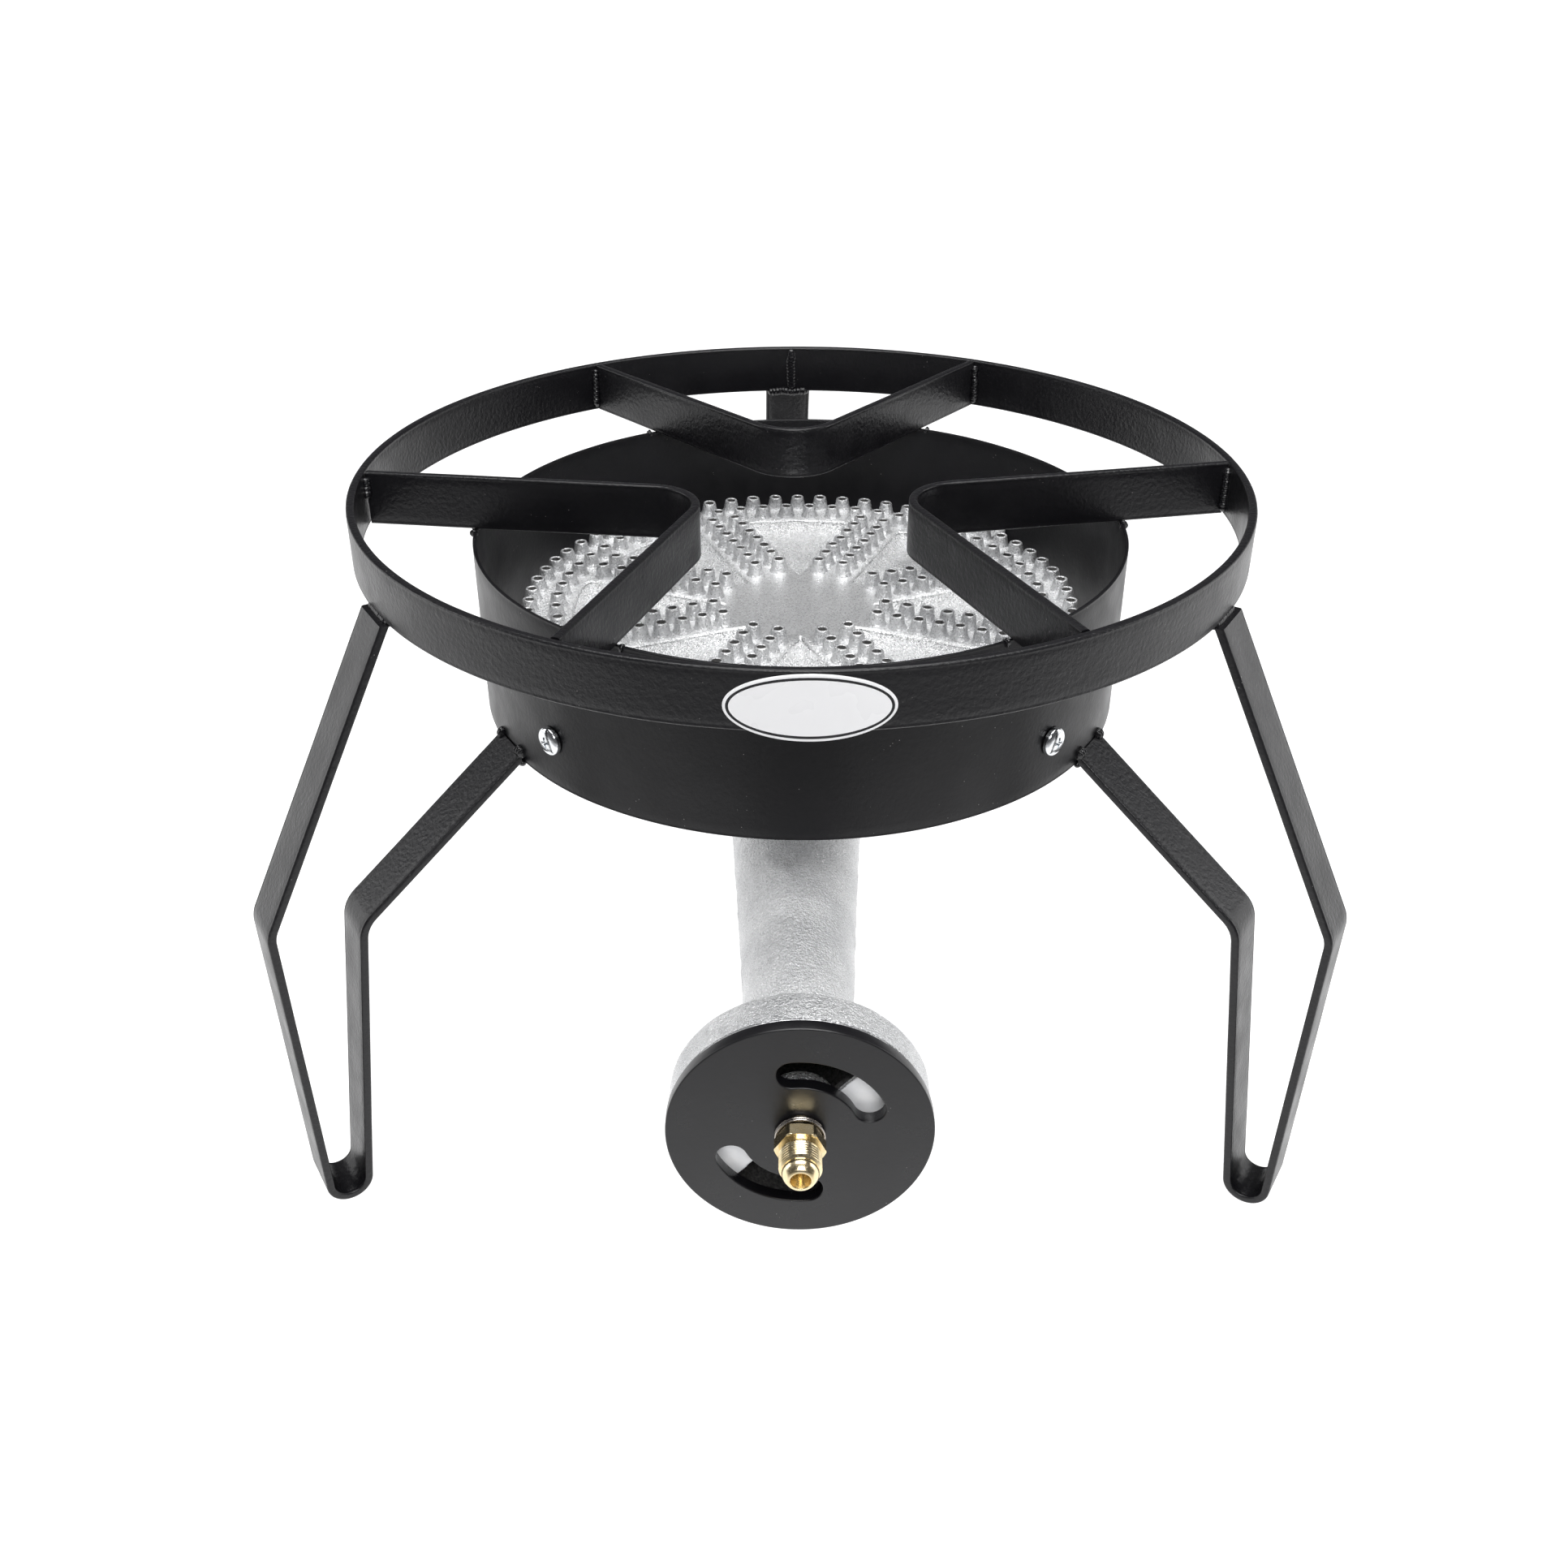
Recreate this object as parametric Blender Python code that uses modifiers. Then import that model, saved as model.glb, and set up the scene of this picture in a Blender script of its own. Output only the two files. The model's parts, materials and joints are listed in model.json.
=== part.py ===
"""Three-legged propane burner stand with a ten inch jet burner.

Metres, +Z up. The ground is z = 0 and the gas inlet points towards -Y. The stand is a welded frame
of flat bar: a pot ring, three V-shaped pot supports, a wind guard and three bent legs. The cast
burner hangs in the guard on four screws, and its air shutter turns on the brass inlet fitting.
"""

import math

import bmesh
import bpy
from mathutils import Matrix, Vector

# Driving dimensions.
GAP = 0.0003
STAND_HEIGHT = 0.3175
BAR_WIDTH = 0.025
BAR_THICKNESS = 0.004
BAR_EDGE_ROUND = 0.0006
RING_OUTER_RADIUS = 0.2032

SUPPORT_END_ANGLE = 31.0
SUPPORT_APEX_RADIUS = 0.045
SUPPORT_BEND_RADIUS = 0.023

LEG_TOP_RADIUS = 0.2036
LEG_OUTER_KNEE = (0.2713, 0.1603)
LEG_FOOT_RADIUS = 0.258
LEG_FOOT_BEND_RADIUS = 0.0093
LEG_INNER_KNEE = (0.2316, 0.1518)
LEG_GUARD_END_HEIGHT = 0.2148
LEG_KNEE_BEND_RADIUS = 0.015

GUARD_OUTER_RADIUS = 0.151
GUARD_WALL = 0.002
GUARD_BOTTOM = 0.2125

HEAD_RADIUS = 0.1335
HEAD_TOP = 0.2498
HEAD_WALL = 0.0045
HEAD_SIDE_HEIGHT = 0.021
HEAD_CORNER = 0.003
HEAD_SHOULDER = (0.022, 0.2075)
NECK_TOP = (0.007, 0.201)
NECK_START = 0.192
NECK_RADIUS = 0.034
SPOKE_COUNT = 8
SPOKE_HALF_WIDTH = 0.013
POCKET_DEPTH = 0.005
POCKET_OUTER_RADIUS = 0.1085
POCKET_DRAFT = 0.004

SPOKE_NOZZLE_HEIGHT = 0.0072
RING_NOZZLE_HEIGHT = 0.006
NOZZLE_TOP_RADIUS = 0.0031
NOZZLE_BASE_RADIUS = 0.0039
# The radius of each ring of nozzles, how many it has, and its first one as a share of their spacing.
NOZZLE_RINGS = ((0.129, 66, 0.5), (0.1158, 58, 0.0))
SPOKE_ROW_OFFSET = 0.0064
SPOKE_ROW_START = 0.0415
SPOKE_ROW_PITCH = 0.01015
SPOKE_ROW_COUNT = 7

TUBE_HEIGHT = 0.1589
TUBE_SIDE_OFFSET = -0.0017
TUBE_START_RADIUS = 0.0341
THROAT_REACH = 0.205
THROAT_RADIUS = 0.0208
BELL_REACH = 0.243
BELL_RADIUS = 0.0489
WEB_FRONT = 0.2593
WEB_THICKNESS = 0.0053
WEB_OPENING_START = 48.0
WEB_OPENING_SPAN = 90.0
WEB_OPENING_RADII = (0.017, 0.041)
BOSS_RADIUS = 0.0135
BOSS_BACK = 0.245

SHUTTER_RADIUS = 0.0495
SHUTTER_THICKNESS = 0.0053
SHUTTER_BACK = 0.2596
SLOT_RADIUS = 0.028
SLOT_WIDTH = 0.0117
SLOT_START = 25.0
SLOT_SPAN = 71.0

FITTING_BACK = 0.248
FITTING_TIP = 0.2886
FITTING_SHANK_RADIUS = 0.00685
FITTING_BORE_RADIUS = 0.00365
FITTING_SOCKET_RADIUS = 0.0045
FITTING_SOCKET_DEPTH = 0.009
HEX_BACK = 0.2685
HEX_FRONT = 0.2738
HEX_ACROSS_FLATS = 0.017
HEX_TURN = -33.5
THREAD_RADIUS = 0.0079375
THREAD_LENGTH = 0.0098
FLARE_FACE_RADIUS = 0.0046

SPRING_RADIUS = 0.009
SPRING_WIRE = 0.001
SPRING_TURNS = 1.5

JET_SHANK_RADIUS = 0.0042
JET_HEX_ACROSS_FLATS = 0.011
JET_HEX_LENGTH = 0.006
JET_HOLE_RADIUS = 0.0008

SCREW_HEIGHT = 0.2352
SCREW_FIRST_ANGLE = 45.0
SCREW_COUNT = 4
SCREW_SHANK_RADIUS = 0.00275
SCREW_HOLE_RADIUS = 0.0033
SCREW_HEAD_RADIUS = 0.0064
SCREW_HEAD_HEIGHT = 0.0036
SCREW_END_RADIUS = 0.1363
NUT_ACROSS_FLATS = 0.010
NUT_THICKNESS = 0.005
NUT_BORE_RADIUS = 0.00305
EAR_THICKNESS = 0.005
EAR_WIDTH = 0.018
EAR_HEIGHT = 0.022
EAR_WEB_THICKNESS = 0.005
EAR_DROP = 0.002

BADGE_WIDTH = 0.0628
BADGE_HEIGHT = 0.027
BADGE_CENTRE_HEIGHT = 0.3027
BADGE_ANGLE = 0.44
BADGE_THICKNESS = 0.0006

# The turn of each leg and pot support about the ring's axis, as welded: even thirds to about 2 degrees.
LEG_ANGLES = {"back": 91.5, "left": 210.6, "right": 328.8}
SUPPORT_ANGLES = {"back": 92.2, "left": 211.8, "right": 332.2}

# The ring's axis is set off from the origin so that the whole object is centred on it.
REAR_REACH = LEG_OUTER_KNEE[0] + BAR_THICKNESS / 2 - 0.0007
RING_Y = (FITTING_TIP - REAR_REACH) / 2

RING_STEPS = 72
SMALL_STEPS = 24
FACES_ALONG_Y = Matrix.Rotation(math.pi / 2, 4, "X")

RING_CENTRE = Matrix.Translation((0, RING_Y, 0))
TUBE_FRAME = Matrix.Translation((TUBE_SIDE_OFFSET, RING_Y, TUBE_HEIGHT)) @ FACES_ALONG_Y
RING_BOTTOM = STAND_HEIGHT - BAR_WIDTH
GUARD_TOP = RING_BOTTOM - GAP
GUARD_INNER_RADIUS = GUARD_OUTER_RADIUS - GUARD_WALL


def clear_scene():
    for obj in list(bpy.data.objects):
        bpy.data.objects.remove(obj, do_unlink=True)


def make_collection(name, hidden=False):
    collection = bpy.data.collections.new(name)
    collection.hide_render = hidden
    bpy.context.scene.collection.children.link(collection)
    return collection


def make_material(name, colour, roughness, metallic):
    material = bpy.data.materials.new(name)
    material.use_nodes = True
    shader = material.node_tree.nodes["Principled BSDF"]
    shader.inputs["Base Color"].default_value = (*colour, 1)
    shader.inputs["Roughness"].default_value = roughness
    shader.inputs["Metallic"].default_value = metallic
    material.diffuse_color = (*colour, 1)
    return material


def place(name, data, matrix=Matrix()):
    """Adds an object for the data to the collection of parts."""
    obj = bpy.data.objects.new(name, data)
    obj.matrix_world = matrix
    PARTS.objects.link(obj)
    return obj


def finish(obj, finish_name):
    """Gives a part its material, and smooth shading with sharp edges over 35 degrees."""
    colour, roughness, metallic = FINISHES[finish_name]
    obj.data.materials.clear()
    obj.data.materials.append(make_material(obj.name, colour, roughness, metallic))
    if obj.type == "MESH":
        obj.data.shade_smooth()
        obj.data.set_sharp_from_angle(angle=math.radians(35))
    return obj


def as_cutter(obj):
    """Moves an object to the cutters, which the model leaves out."""
    PARTS.objects.unlink(obj)
    CUTTERS.objects.link(obj)
    obj.hide_render = True
    obj.display_type = "WIRE"
    return obj


def join_by(obj, other, operation, solver):
    modifier = obj.modifiers.new(f"{operation.lower()}_{other.name}", "BOOLEAN")
    modifier.operation = operation
    modifier.object = as_cutter(other)
    modifier.solver = solver


def cut(obj, cutter, solver="EXACT"):
    join_by(obj, cutter, "DIFFERENCE", solver)


def add(obj, other, solver="EXACT"):
    join_by(obj, other, "UNION", solver)


def turned(name, profile, matrix, steps=RING_STEPS, closed=False):
    """A solid of revolution. The profile of (radius, height) runs down the outer side."""
    mesh = bpy.data.meshes.new(name)
    points = [(radius, 0, height) for radius, height in profile]
    edges = [(i, i + 1) for i in range(len(points) - 1)]
    if closed:
        edges.append((len(points) - 1, 0))
    mesh.from_pydata(points, edges, [])
    obj = place(name, mesh, matrix)
    screw = obj.modifiers.new("turn", "SCREW")
    screw.steps = screw.render_steps = steps
    screw.use_merge_vertices = True
    screw.merge_threshold = 0.00001
    screw.use_smooth_shade = True
    return obj


def mesh_of(obj):
    """Turns a curve or a modified object into a plain mesh object of the same name."""
    graph = bpy.context.evaluated_depsgraph_get()
    mesh = bpy.data.meshes.new_from_object(obj.evaluated_get(graph))
    work = bmesh.new()
    work.from_mesh(mesh)
    bmesh.ops.remove_doubles(work, verts=work.verts, dist=0.000001)
    work.to_mesh(mesh)
    work.free()
    name, matrix = obj.name, obj.matrix_world.copy()
    bpy.data.objects.remove(obj, do_unlink=True)
    return place(name, mesh, matrix)


def outline_curve(name, outline, height, matrix, edge_round=0.0):
    """A flat outline in XY, made into a plate of the given height centred on z = 0."""
    curve = bpy.data.curves.new(name, "CURVE")
    curve.dimensions = "2D"
    curve.fill_mode = "BOTH"
    curve.extrude = height / 2 - edge_round
    curve.bevel_depth = edge_round
    curve.bevel_resolution = 0
    curve.offset = -edge_round
    spline = curve.splines.new("POLY")
    spline.points.add(len(outline) - 1)
    for point, (x, y) in zip(spline.points, outline):
        point.co = (x, y, 0, 1)
    spline.use_cyclic_u = True
    return place(name, curve, matrix)


def arc(centre, radius, start, end, count):
    """Points on an arc from start to end, in degrees, both ends included."""
    angles = [math.radians(start + (end - start) * i / count) for i in range(count + 1)]
    return [(centre[0] + radius * math.cos(a), centre[1] + radius * math.sin(a)) for a in angles]


def bend_path(corners, count=5):
    """A path through corners of (point, bend radius): a list of (point, left-hand normal)."""
    points = [Vector(point) for point, _ in corners]
    path = []
    for i, (_, radius) in enumerate(corners):
        here = points[i]
        before = (here - points[i - 1]).normalized() if i else None
        after = (points[i + 1] - here).normalized() if i + 1 < len(points) else None
        if before is None or after is None:
            along = after or before
            path.append((here, Vector((-along.y, along.x))))
            continue
        turn = before.angle_signed(after) * -1
        reach = radius * math.tan(abs(turn) / 2)
        start_normal = Vector((-before.y, before.x))
        centre = here - before * reach + start_normal * math.copysign(radius, turn)
        for step in range(count + 1):
            swing = Matrix.Rotation(turn * step / count, 2)
            normal = swing @ start_normal
            path.append((centre - normal * math.copysign(radius, turn), normal))
    return path


def bar_outline(path, thickness):
    """The strip's two sides, anticlockwise for a path whose outer side is on its left."""
    left = [tuple(point + normal * thickness / 2) for point, normal in path]
    right = [tuple(point - normal * thickness / 2) for point, normal in path]
    return right + left[::-1]


def bent_bar(name, path, width, matrix):
    """A flat bar on edge along a path, with slightly rounded edges."""
    bar = outline_curve(name, bar_outline(path, BAR_THICKNESS), width, matrix, BAR_EDGE_ROUND)
    return finish(mesh_of(bar), "black coat")


def slot_outline(radius, width, start, span, count=8):
    """The outline of an arc-shaped slot with round ends, in degrees."""
    end = start + span
    tips = [(radius * math.cos(math.radians(a)), radius * math.sin(math.radians(a))) for a in (start, end)]
    outer = arc((0, 0), radius + width / 2, start, end, count)
    far_end = arc(tips[1], width / 2, end, end + 180, 6)[1:-1]
    inner = arc((0, 0), radius - width / 2, end, start, count)
    near_end = arc(tips[0], width / 2, start + 180, start + 360, 6)[1:-1]
    return outer + far_end + inner + near_end


def sector_outline(inner, outer, start, span):
    """The outline of a sector of a ring, in degrees."""
    return arc((0, 0), outer, start, start + span, 8) + arc((0, 0), inner, start + span, start, 6)


def prism(name, sides, across_flats, bottom, top, matrix):
    """A regular prism between two heights, flats facing its X axis."""
    mesh = bpy.data.meshes.new(name)
    work = bmesh.new()
    turn = Matrix.Rotation(math.pi / sides, 4, "Z")
    shift = Matrix.Translation((0, 0, (bottom + top) / 2))
    radius = across_flats / 2 / math.cos(math.pi / sides)
    bmesh.ops.create_cone(work, cap_ends=True, segments=sides, radius1=radius, radius2=radius,
                          depth=top - bottom, matrix=shift @ turn)
    work.to_mesh(mesh)
    work.free()
    return place(name, mesh, matrix)


def box(name, low, high, matrix):
    mesh = bpy.data.meshes.new(name)
    work = bmesh.new()
    size = [b - a for a, b in zip(low, high)]
    centre = [(a + b) / 2 for a, b in zip(low, high)]
    matrix_local = Matrix.Translation(centre) @ Matrix.Diagonal((*size, 1))
    bmesh.ops.create_cube(work, size=1, matrix=matrix_local)
    work.to_mesh(mesh)
    work.free()
    return place(name, mesh, matrix)


def radial_frame(angle, height):
    """A frame on the ring's axis whose Z points outwards at the angle, and whose Y points up."""
    outwards = Matrix.Rotation(math.radians(angle), 4, "Z") @ Matrix.Rotation(math.pi / 2, 4, "Y")
    upright = Matrix.Rotation(math.pi / 2, 4, "Z")
    return Matrix.Translation((0, RING_Y, height)) @ outwards @ upright


def leg_frame(angle):
    """A frame whose X runs outwards at the angle and whose Y points up, for a leg's outline."""
    turn = Matrix.Rotation(math.radians(angle), 4, "Z")
    return RING_CENTRE @ turn @ FACES_ALONG_Y


def make_pot_ring():
    outer, inner = RING_OUTER_RADIUS, RING_OUTER_RADIUS - BAR_THICKNESS
    edge = BAR_EDGE_ROUND
    profile = [(inner + edge, STAND_HEIGHT), (outer - edge, STAND_HEIGHT), (outer, STAND_HEIGHT - edge),
               (outer, RING_BOTTOM + edge), (outer - edge, RING_BOTTOM), (inner + edge, RING_BOTTOM),
               (inner, RING_BOTTOM + edge), (inner, STAND_HEIGHT - edge)]
    finish(turned("pot_ring", profile, RING_CENTRE, closed=True), "black coat")


def make_pot_supports():
    """Each support is one bar bent to a V whose ends butt against the inside of the ring."""
    end_radius = RING_OUTER_RADIUS - BAR_THICKNESS - 2 * GAP
    end_angle = math.radians(SUPPORT_END_ANGLE)
    end = Vector((end_radius * math.cos(end_angle), end_radius * math.sin(end_angle)))
    mirrored = Vector((end.x, -end.y))
    corners = [(end, 0), ((SUPPORT_APEX_RADIUS, 0), SUPPORT_BEND_RADIUS), (mirrored, 0)]
    path = bend_path(corners, 10)
    middle = Matrix.Translation((0, 0, STAND_HEIGHT - BAR_WIDTH / 2))
    for side, angle in SUPPORT_ANGLES.items():
        matrix = RING_CENTRE @ middle @ Matrix.Rotation(math.radians(angle), 4, "Z")
        bent_bar(f"pot_support_{side}", path, BAR_WIDTH, matrix)


def tangent_corner(point, centre, radius, side):
    """Where the tangent from a point meets the circle, on the side given by +1 or -1."""
    away = Vector(point) - Vector(centre)
    spread = math.acos(radius / away.length)
    return Vector(centre) + (Matrix.Rotation(side * spread, 2) @ away.normalized()) * radius


def leg_path():
    """Down from the ring, out to a knee, in to the foot's bend, up and in to the guard."""
    foot = Vector((LEG_FOOT_RADIUS, LEG_FOOT_BEND_RADIUS + BAR_THICKNESS / 2))
    top = Vector((LEG_TOP_RADIUS, RING_BOTTOM - GAP))
    guard_end = Vector((GUARD_OUTER_RADIUS + 2 * GAP, LEG_GUARD_END_HEIGHT))
    outer_touch = tangent_corner(LEG_OUTER_KNEE, foot, LEG_FOOT_BEND_RADIUS, -1)
    inner_touch = tangent_corner(LEG_INNER_KNEE, foot, LEG_FOOT_BEND_RADIUS, 1)
    down = [(top, 0), (LEG_OUTER_KNEE, LEG_KNEE_BEND_RADIUS), (outer_touch, 0)]
    up = [(inner_touch, 0), (LEG_INNER_KNEE, LEG_KNEE_BEND_RADIUS), (guard_end, 0)]
    start = math.degrees(math.atan2(*(outer_touch - foot).yx))
    end = math.degrees(math.atan2(*(inner_touch - foot).yx))
    sweep = (start - end) % 360
    bend = []
    for x, y in arc(foot, LEG_FOOT_BEND_RADIUS, start, start - sweep, 10)[1:-1]:
        bend.append((Vector((x, y)), (Vector((x, y)) - foot).normalized()))
    return bend_path(down) + bend + bend_path(up)


def make_legs():
    """The strip's ends are cut level under the ring and upright against the guard."""
    path = leg_path()
    outline = bar_outline(path, BAR_THICKNESS)
    last = len(path) - 1
    top_height = RING_BOTTOM - GAP
    wall = GUARD_OUTER_RADIUS + GAP
    top_slope = (LEG_OUTER_KNEE[0] - LEG_TOP_RADIUS) / (LEG_OUTER_KNEE[1] - top_height)
    wall_slope = (LEG_INNER_KNEE[1] - LEG_GUARD_END_HEIGHT) / (LEG_INNER_KNEE[0] - wall)
    for i in (0, len(outline) - 1):
        x, y = outline[i]
        outline[i] = (x + (top_height - y) * top_slope, top_height)
    for i in (last, last + 1):
        x, y = outline[i]
        outline[i] = (wall, y + (wall - x) * wall_slope)
    for side, angle in LEG_ANGLES.items():
        leg = outline_curve(f"leg_{side}", outline, BAR_WIDTH, leg_frame(angle), BAR_EDGE_ROUND)
        finish(mesh_of(leg), "black coat")


def make_wind_guard():
    outer, inner = GUARD_OUTER_RADIUS, GUARD_INNER_RADIUS
    edge = BAR_EDGE_ROUND
    profile = [(inner, GUARD_TOP), (outer - edge, GUARD_TOP), (outer, GUARD_TOP - edge),
               (outer, GUARD_BOTTOM + edge), (outer - edge, GUARD_BOTTOM), (inner, GUARD_BOTTOM)]
    guard = turned("wind_guard", profile, RING_CENTRE, closed=True)
    for number, angle in enumerate(screw_angles()):
        hole = prism(f"guard_hole_{number + 1}", 12, 2 * SCREW_HOLE_RADIUS, inner - 0.01, outer + 0.01,
                     radial_frame(angle, SCREW_HEIGHT))
        cut(guard, hole)
    finish(guard, "black coat")


def screw_angles():
    return [SCREW_FIRST_ANGLE + 360 / SCREW_COUNT * i for i in range(SCREW_COUNT)]


def pocket_outline(half_width, outer_radius, rounding):
    """The wedge between two neighbouring spokes, about the X axis, with its corners rounded."""
    half_step = math.pi / SPOKE_COUNT
    inner_tip = half_width / math.sin(half_step)
    corner_angle = half_step - math.asin(half_width / outer_radius)
    count = 6
    corners = [(inner_tip, 0)]
    for i in range(count + 1):
        angle = -corner_angle + 2 * corner_angle * i / count
        corners.append((outer_radius * math.cos(angle), outer_radius * math.sin(angle)))
    outline = []
    for i, corner in enumerate(corners):
        here = Vector(corner)
        before = Vector(corners[i - 1])
        after = Vector(corners[(i + 1) % len(corners)])
        if i in (0, 1, count + 1):
            reach = min(rounding, (here - before).length / 2, (here - after).length / 2)
            start = here + (before - here).normalized() * reach
            end = here + (after - here).normalized() * reach
            outline += [start, (start + end + here * 2) / 4, end]
        else:
            outline.append(here)
    return outline


def make_pockets(name, spread, floor, top, draft):
    """The eight wedges as one cutter, each narrower at its floor by the draft."""
    mesh = bpy.data.meshes.new(name)
    work = bmesh.new()
    wide = pocket_outline(SPOKE_HALF_WIDTH - spread, POCKET_OUTER_RADIUS + spread, 0.006)
    narrow = pocket_outline(SPOKE_HALF_WIDTH - spread + draft, POCKET_OUTER_RADIUS + spread - draft, 0.005)
    for spoke in range(SPOKE_COUNT):
        turn = Matrix.Rotation(2 * math.pi * spoke / SPOKE_COUNT, 2)
        lower = [work.verts.new((*(turn @ point), floor)) for point in narrow]
        upper = [work.verts.new((*(turn @ point), top)) for point in wide]
        work.faces.new(upper)
        work.faces.new(lower[::-1])
        for i in range(len(lower)):
            j = (i + 1) % len(lower)
            work.faces.new((lower[i], lower[j], upper[j], upper[i]))
    bmesh.ops.recalc_face_normals(work, faces=work.faces)
    work.to_mesh(mesh)
    work.free()
    return place(name, mesh, RING_CENTRE)


def nozzle_places():
    """The centre and height of every gas nozzle: two rings, and two rows along each spoke."""
    places = []
    for radius, count, first in NOZZLE_RINGS:
        for i in range(count):
            angle = 2 * math.pi * (i + first) / count
            places.append((radius * math.cos(angle), radius * math.sin(angle), RING_NOZZLE_HEIGHT))
    for spoke in range(SPOKE_COUNT):
        turn = Matrix.Rotation(2 * math.pi * (spoke + 0.5) / SPOKE_COUNT, 2)
        for i in range(SPOKE_ROW_COUNT):
            along = SPOKE_ROW_START + SPOKE_ROW_PITCH * i
            for side in (-1, 1):
                x, y = turn @ Vector((along, side * SPOKE_ROW_OFFSET))
                places.append((x, y, SPOKE_NOZZLE_HEIGHT))
    return places


def make_nozzles():
    """All the nozzle studs as one mesh, sunk a little into the plate that they join."""
    mesh = bpy.data.meshes.new("nozzle_studs")
    work = bmesh.new()
    sink = 0.001
    for x, y, height in nozzle_places():
        middle = HEAD_TOP + (height - sink) / 2
        bmesh.ops.create_cone(work, cap_ends=True, segments=5, radius1=NOZZLE_BASE_RADIUS,
                              radius2=NOZZLE_TOP_RADIUS, depth=height + sink,
                              matrix=Matrix.Translation((x, y, middle)))
    work.to_mesh(mesh)
    work.free()
    return place("nozzle_studs", mesh, RING_CENTRE)


def head_profile(inset):
    """The head, neck and elbow, turned. The inset is the wall's thickness, for the space inside."""
    side = HEAD_RADIUS - inset
    neck = NECK_RADIUS - inset
    top = HEAD_TOP - inset
    side_bottom = HEAD_TOP - HEAD_SIDE_HEIGHT + inset * 0.4
    chamfer = 2 * HEAD_CORNER
    profile = [(0, top), (side - HEAD_CORNER, top), (side, top - HEAD_CORNER), (side, side_bottom),
               (side - chamfer, side_bottom - chamfer),
               (neck + HEAD_SHOULDER[0], HEAD_SHOULDER[1] + inset),
               (neck + NECK_TOP[0], NECK_TOP[1] + inset), (neck, NECK_START + inset), (neck, TUBE_HEIGHT)]
    for step in range(1, 4):
        angle = math.pi / 2 * step / 4
        profile.append((neck * math.cos(angle), TUBE_HEIGHT - neck * math.sin(angle)))
    profile.append((0, TUBE_HEIGHT - neck))
    return profile


def tube_profile(inset, start, end):
    """The mixing tube and bell, turned about the tube's axis, from the front end back."""
    return [(0, end), (BELL_RADIUS - inset, end), (BELL_RADIUS - inset, BELL_REACH),
            (BELL_RADIUS - inset - 0.012, BELL_REACH - 0.010),
            (THROAT_RADIUS - inset + 0.003, BELL_REACH - 0.022),
            (THROAT_RADIUS - inset, THROAT_REACH), (TUBE_START_RADIUS - inset, start), (0, start)]


def make_burner():
    """One casting: the head with its nozzles, the neck, the mixing tube, the bell and four ears.

    Its many coaxial and nearly level faces leave open slivers with the exact solver, so its
    Booleans use the manifold one.
    """
    solver = "MANIFOLD"
    burner = turned("burner_casting", head_profile(0), RING_CENTRE, 56)
    add(burner, turned("mixing_tube", tube_profile(0, 0.0, WEB_FRONT), TUBE_FRAME, 40), solver)
    for number, angle in enumerate(screw_angles()):
        frame = radial_frame(angle, SCREW_HEIGHT)
        face = GUARD_INNER_RADIUS - 2 * GAP
        half = EAR_WIDTH / 2
        top = HEAD_TOP - EAR_DROP - SCREW_HEIGHT
        tab = box(f"ear_tab_{number + 1}", (-half, top - EAR_HEIGHT, face - EAR_THICKNESS),
                  (half, top, face), frame)
        web = box(f"ear_web_{number + 1}", (-half + 0.0005, top - EAR_WEB_THICKNESS, HEAD_RADIUS - 0.004),
                  (half - 0.0005, top - 0.0005, face - 0.001), frame)
        add(burner, tab, solver)
        add(burner, web, solver)
        cut(burner, prism(f"ear_hole_{number + 1}", 12, 2 * SCREW_HOLE_RADIUS, face - EAR_THICKNESS - 0.002,
                          face + 0.002, frame), solver)
    chamber = turned("gas_chamber", head_profile(HEAD_WALL), RING_CENTRE, 32)
    fat_pockets = make_pockets("pocket_walls", HEAD_WALL, HEAD_TOP - POCKET_DEPTH - HEAD_WALL,
                               HEAD_TOP + 0.004, POCKET_DRAFT)
    cut(chamber, fat_pockets, solver)
    cut(burner, chamber, solver)
    bore_profile = tube_profile(HEAD_WALL, 0.0002, WEB_FRONT - WEB_THICKNESS)
    cut(burner, turned("tube_bore", bore_profile, TUBE_FRAME, 32), solver)
    boss = turned("fitting_boss", [(0, WEB_FRONT - 0.001), (BOSS_RADIUS, WEB_FRONT - 0.001),
                                   (BOSS_RADIUS, BOSS_BACK), (0, BOSS_BACK)], TUBE_FRAME, SMALL_STEPS)
    add(burner, boss, solver)
    bore = FITTING_SHANK_RADIUS + GAP
    hole = turned("boss_bore", [(0, WEB_FRONT + 0.002), (bore, WEB_FRONT + 0.002),
                                (bore, BOSS_BACK - 0.002), (0, BOSS_BACK - 0.002)], TUBE_FRAME, SMALL_STEPS)
    cut(burner, hole, solver)
    web_middle = Matrix.Translation((0, 0, WEB_FRONT - WEB_THICKNESS / 2))
    for number, start in enumerate((WEB_OPENING_START, WEB_OPENING_START + 180)):
        outline = sector_outline(*WEB_OPENING_RADII, start, WEB_OPENING_SPAN)
        opening = outline_curve(f"web_opening_{number + 1}", outline, WEB_THICKNESS + 0.004,
                                TUBE_FRAME @ web_middle)
        cut(burner, mesh_of(opening), solver)
    cut(burner, make_pockets("pockets", 0, HEAD_TOP - POCKET_DEPTH, HEAD_TOP + 0.002, POCKET_DRAFT), solver)
    add(burner, make_nozzles(), solver)
    finish(burner, "silver casting")


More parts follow.
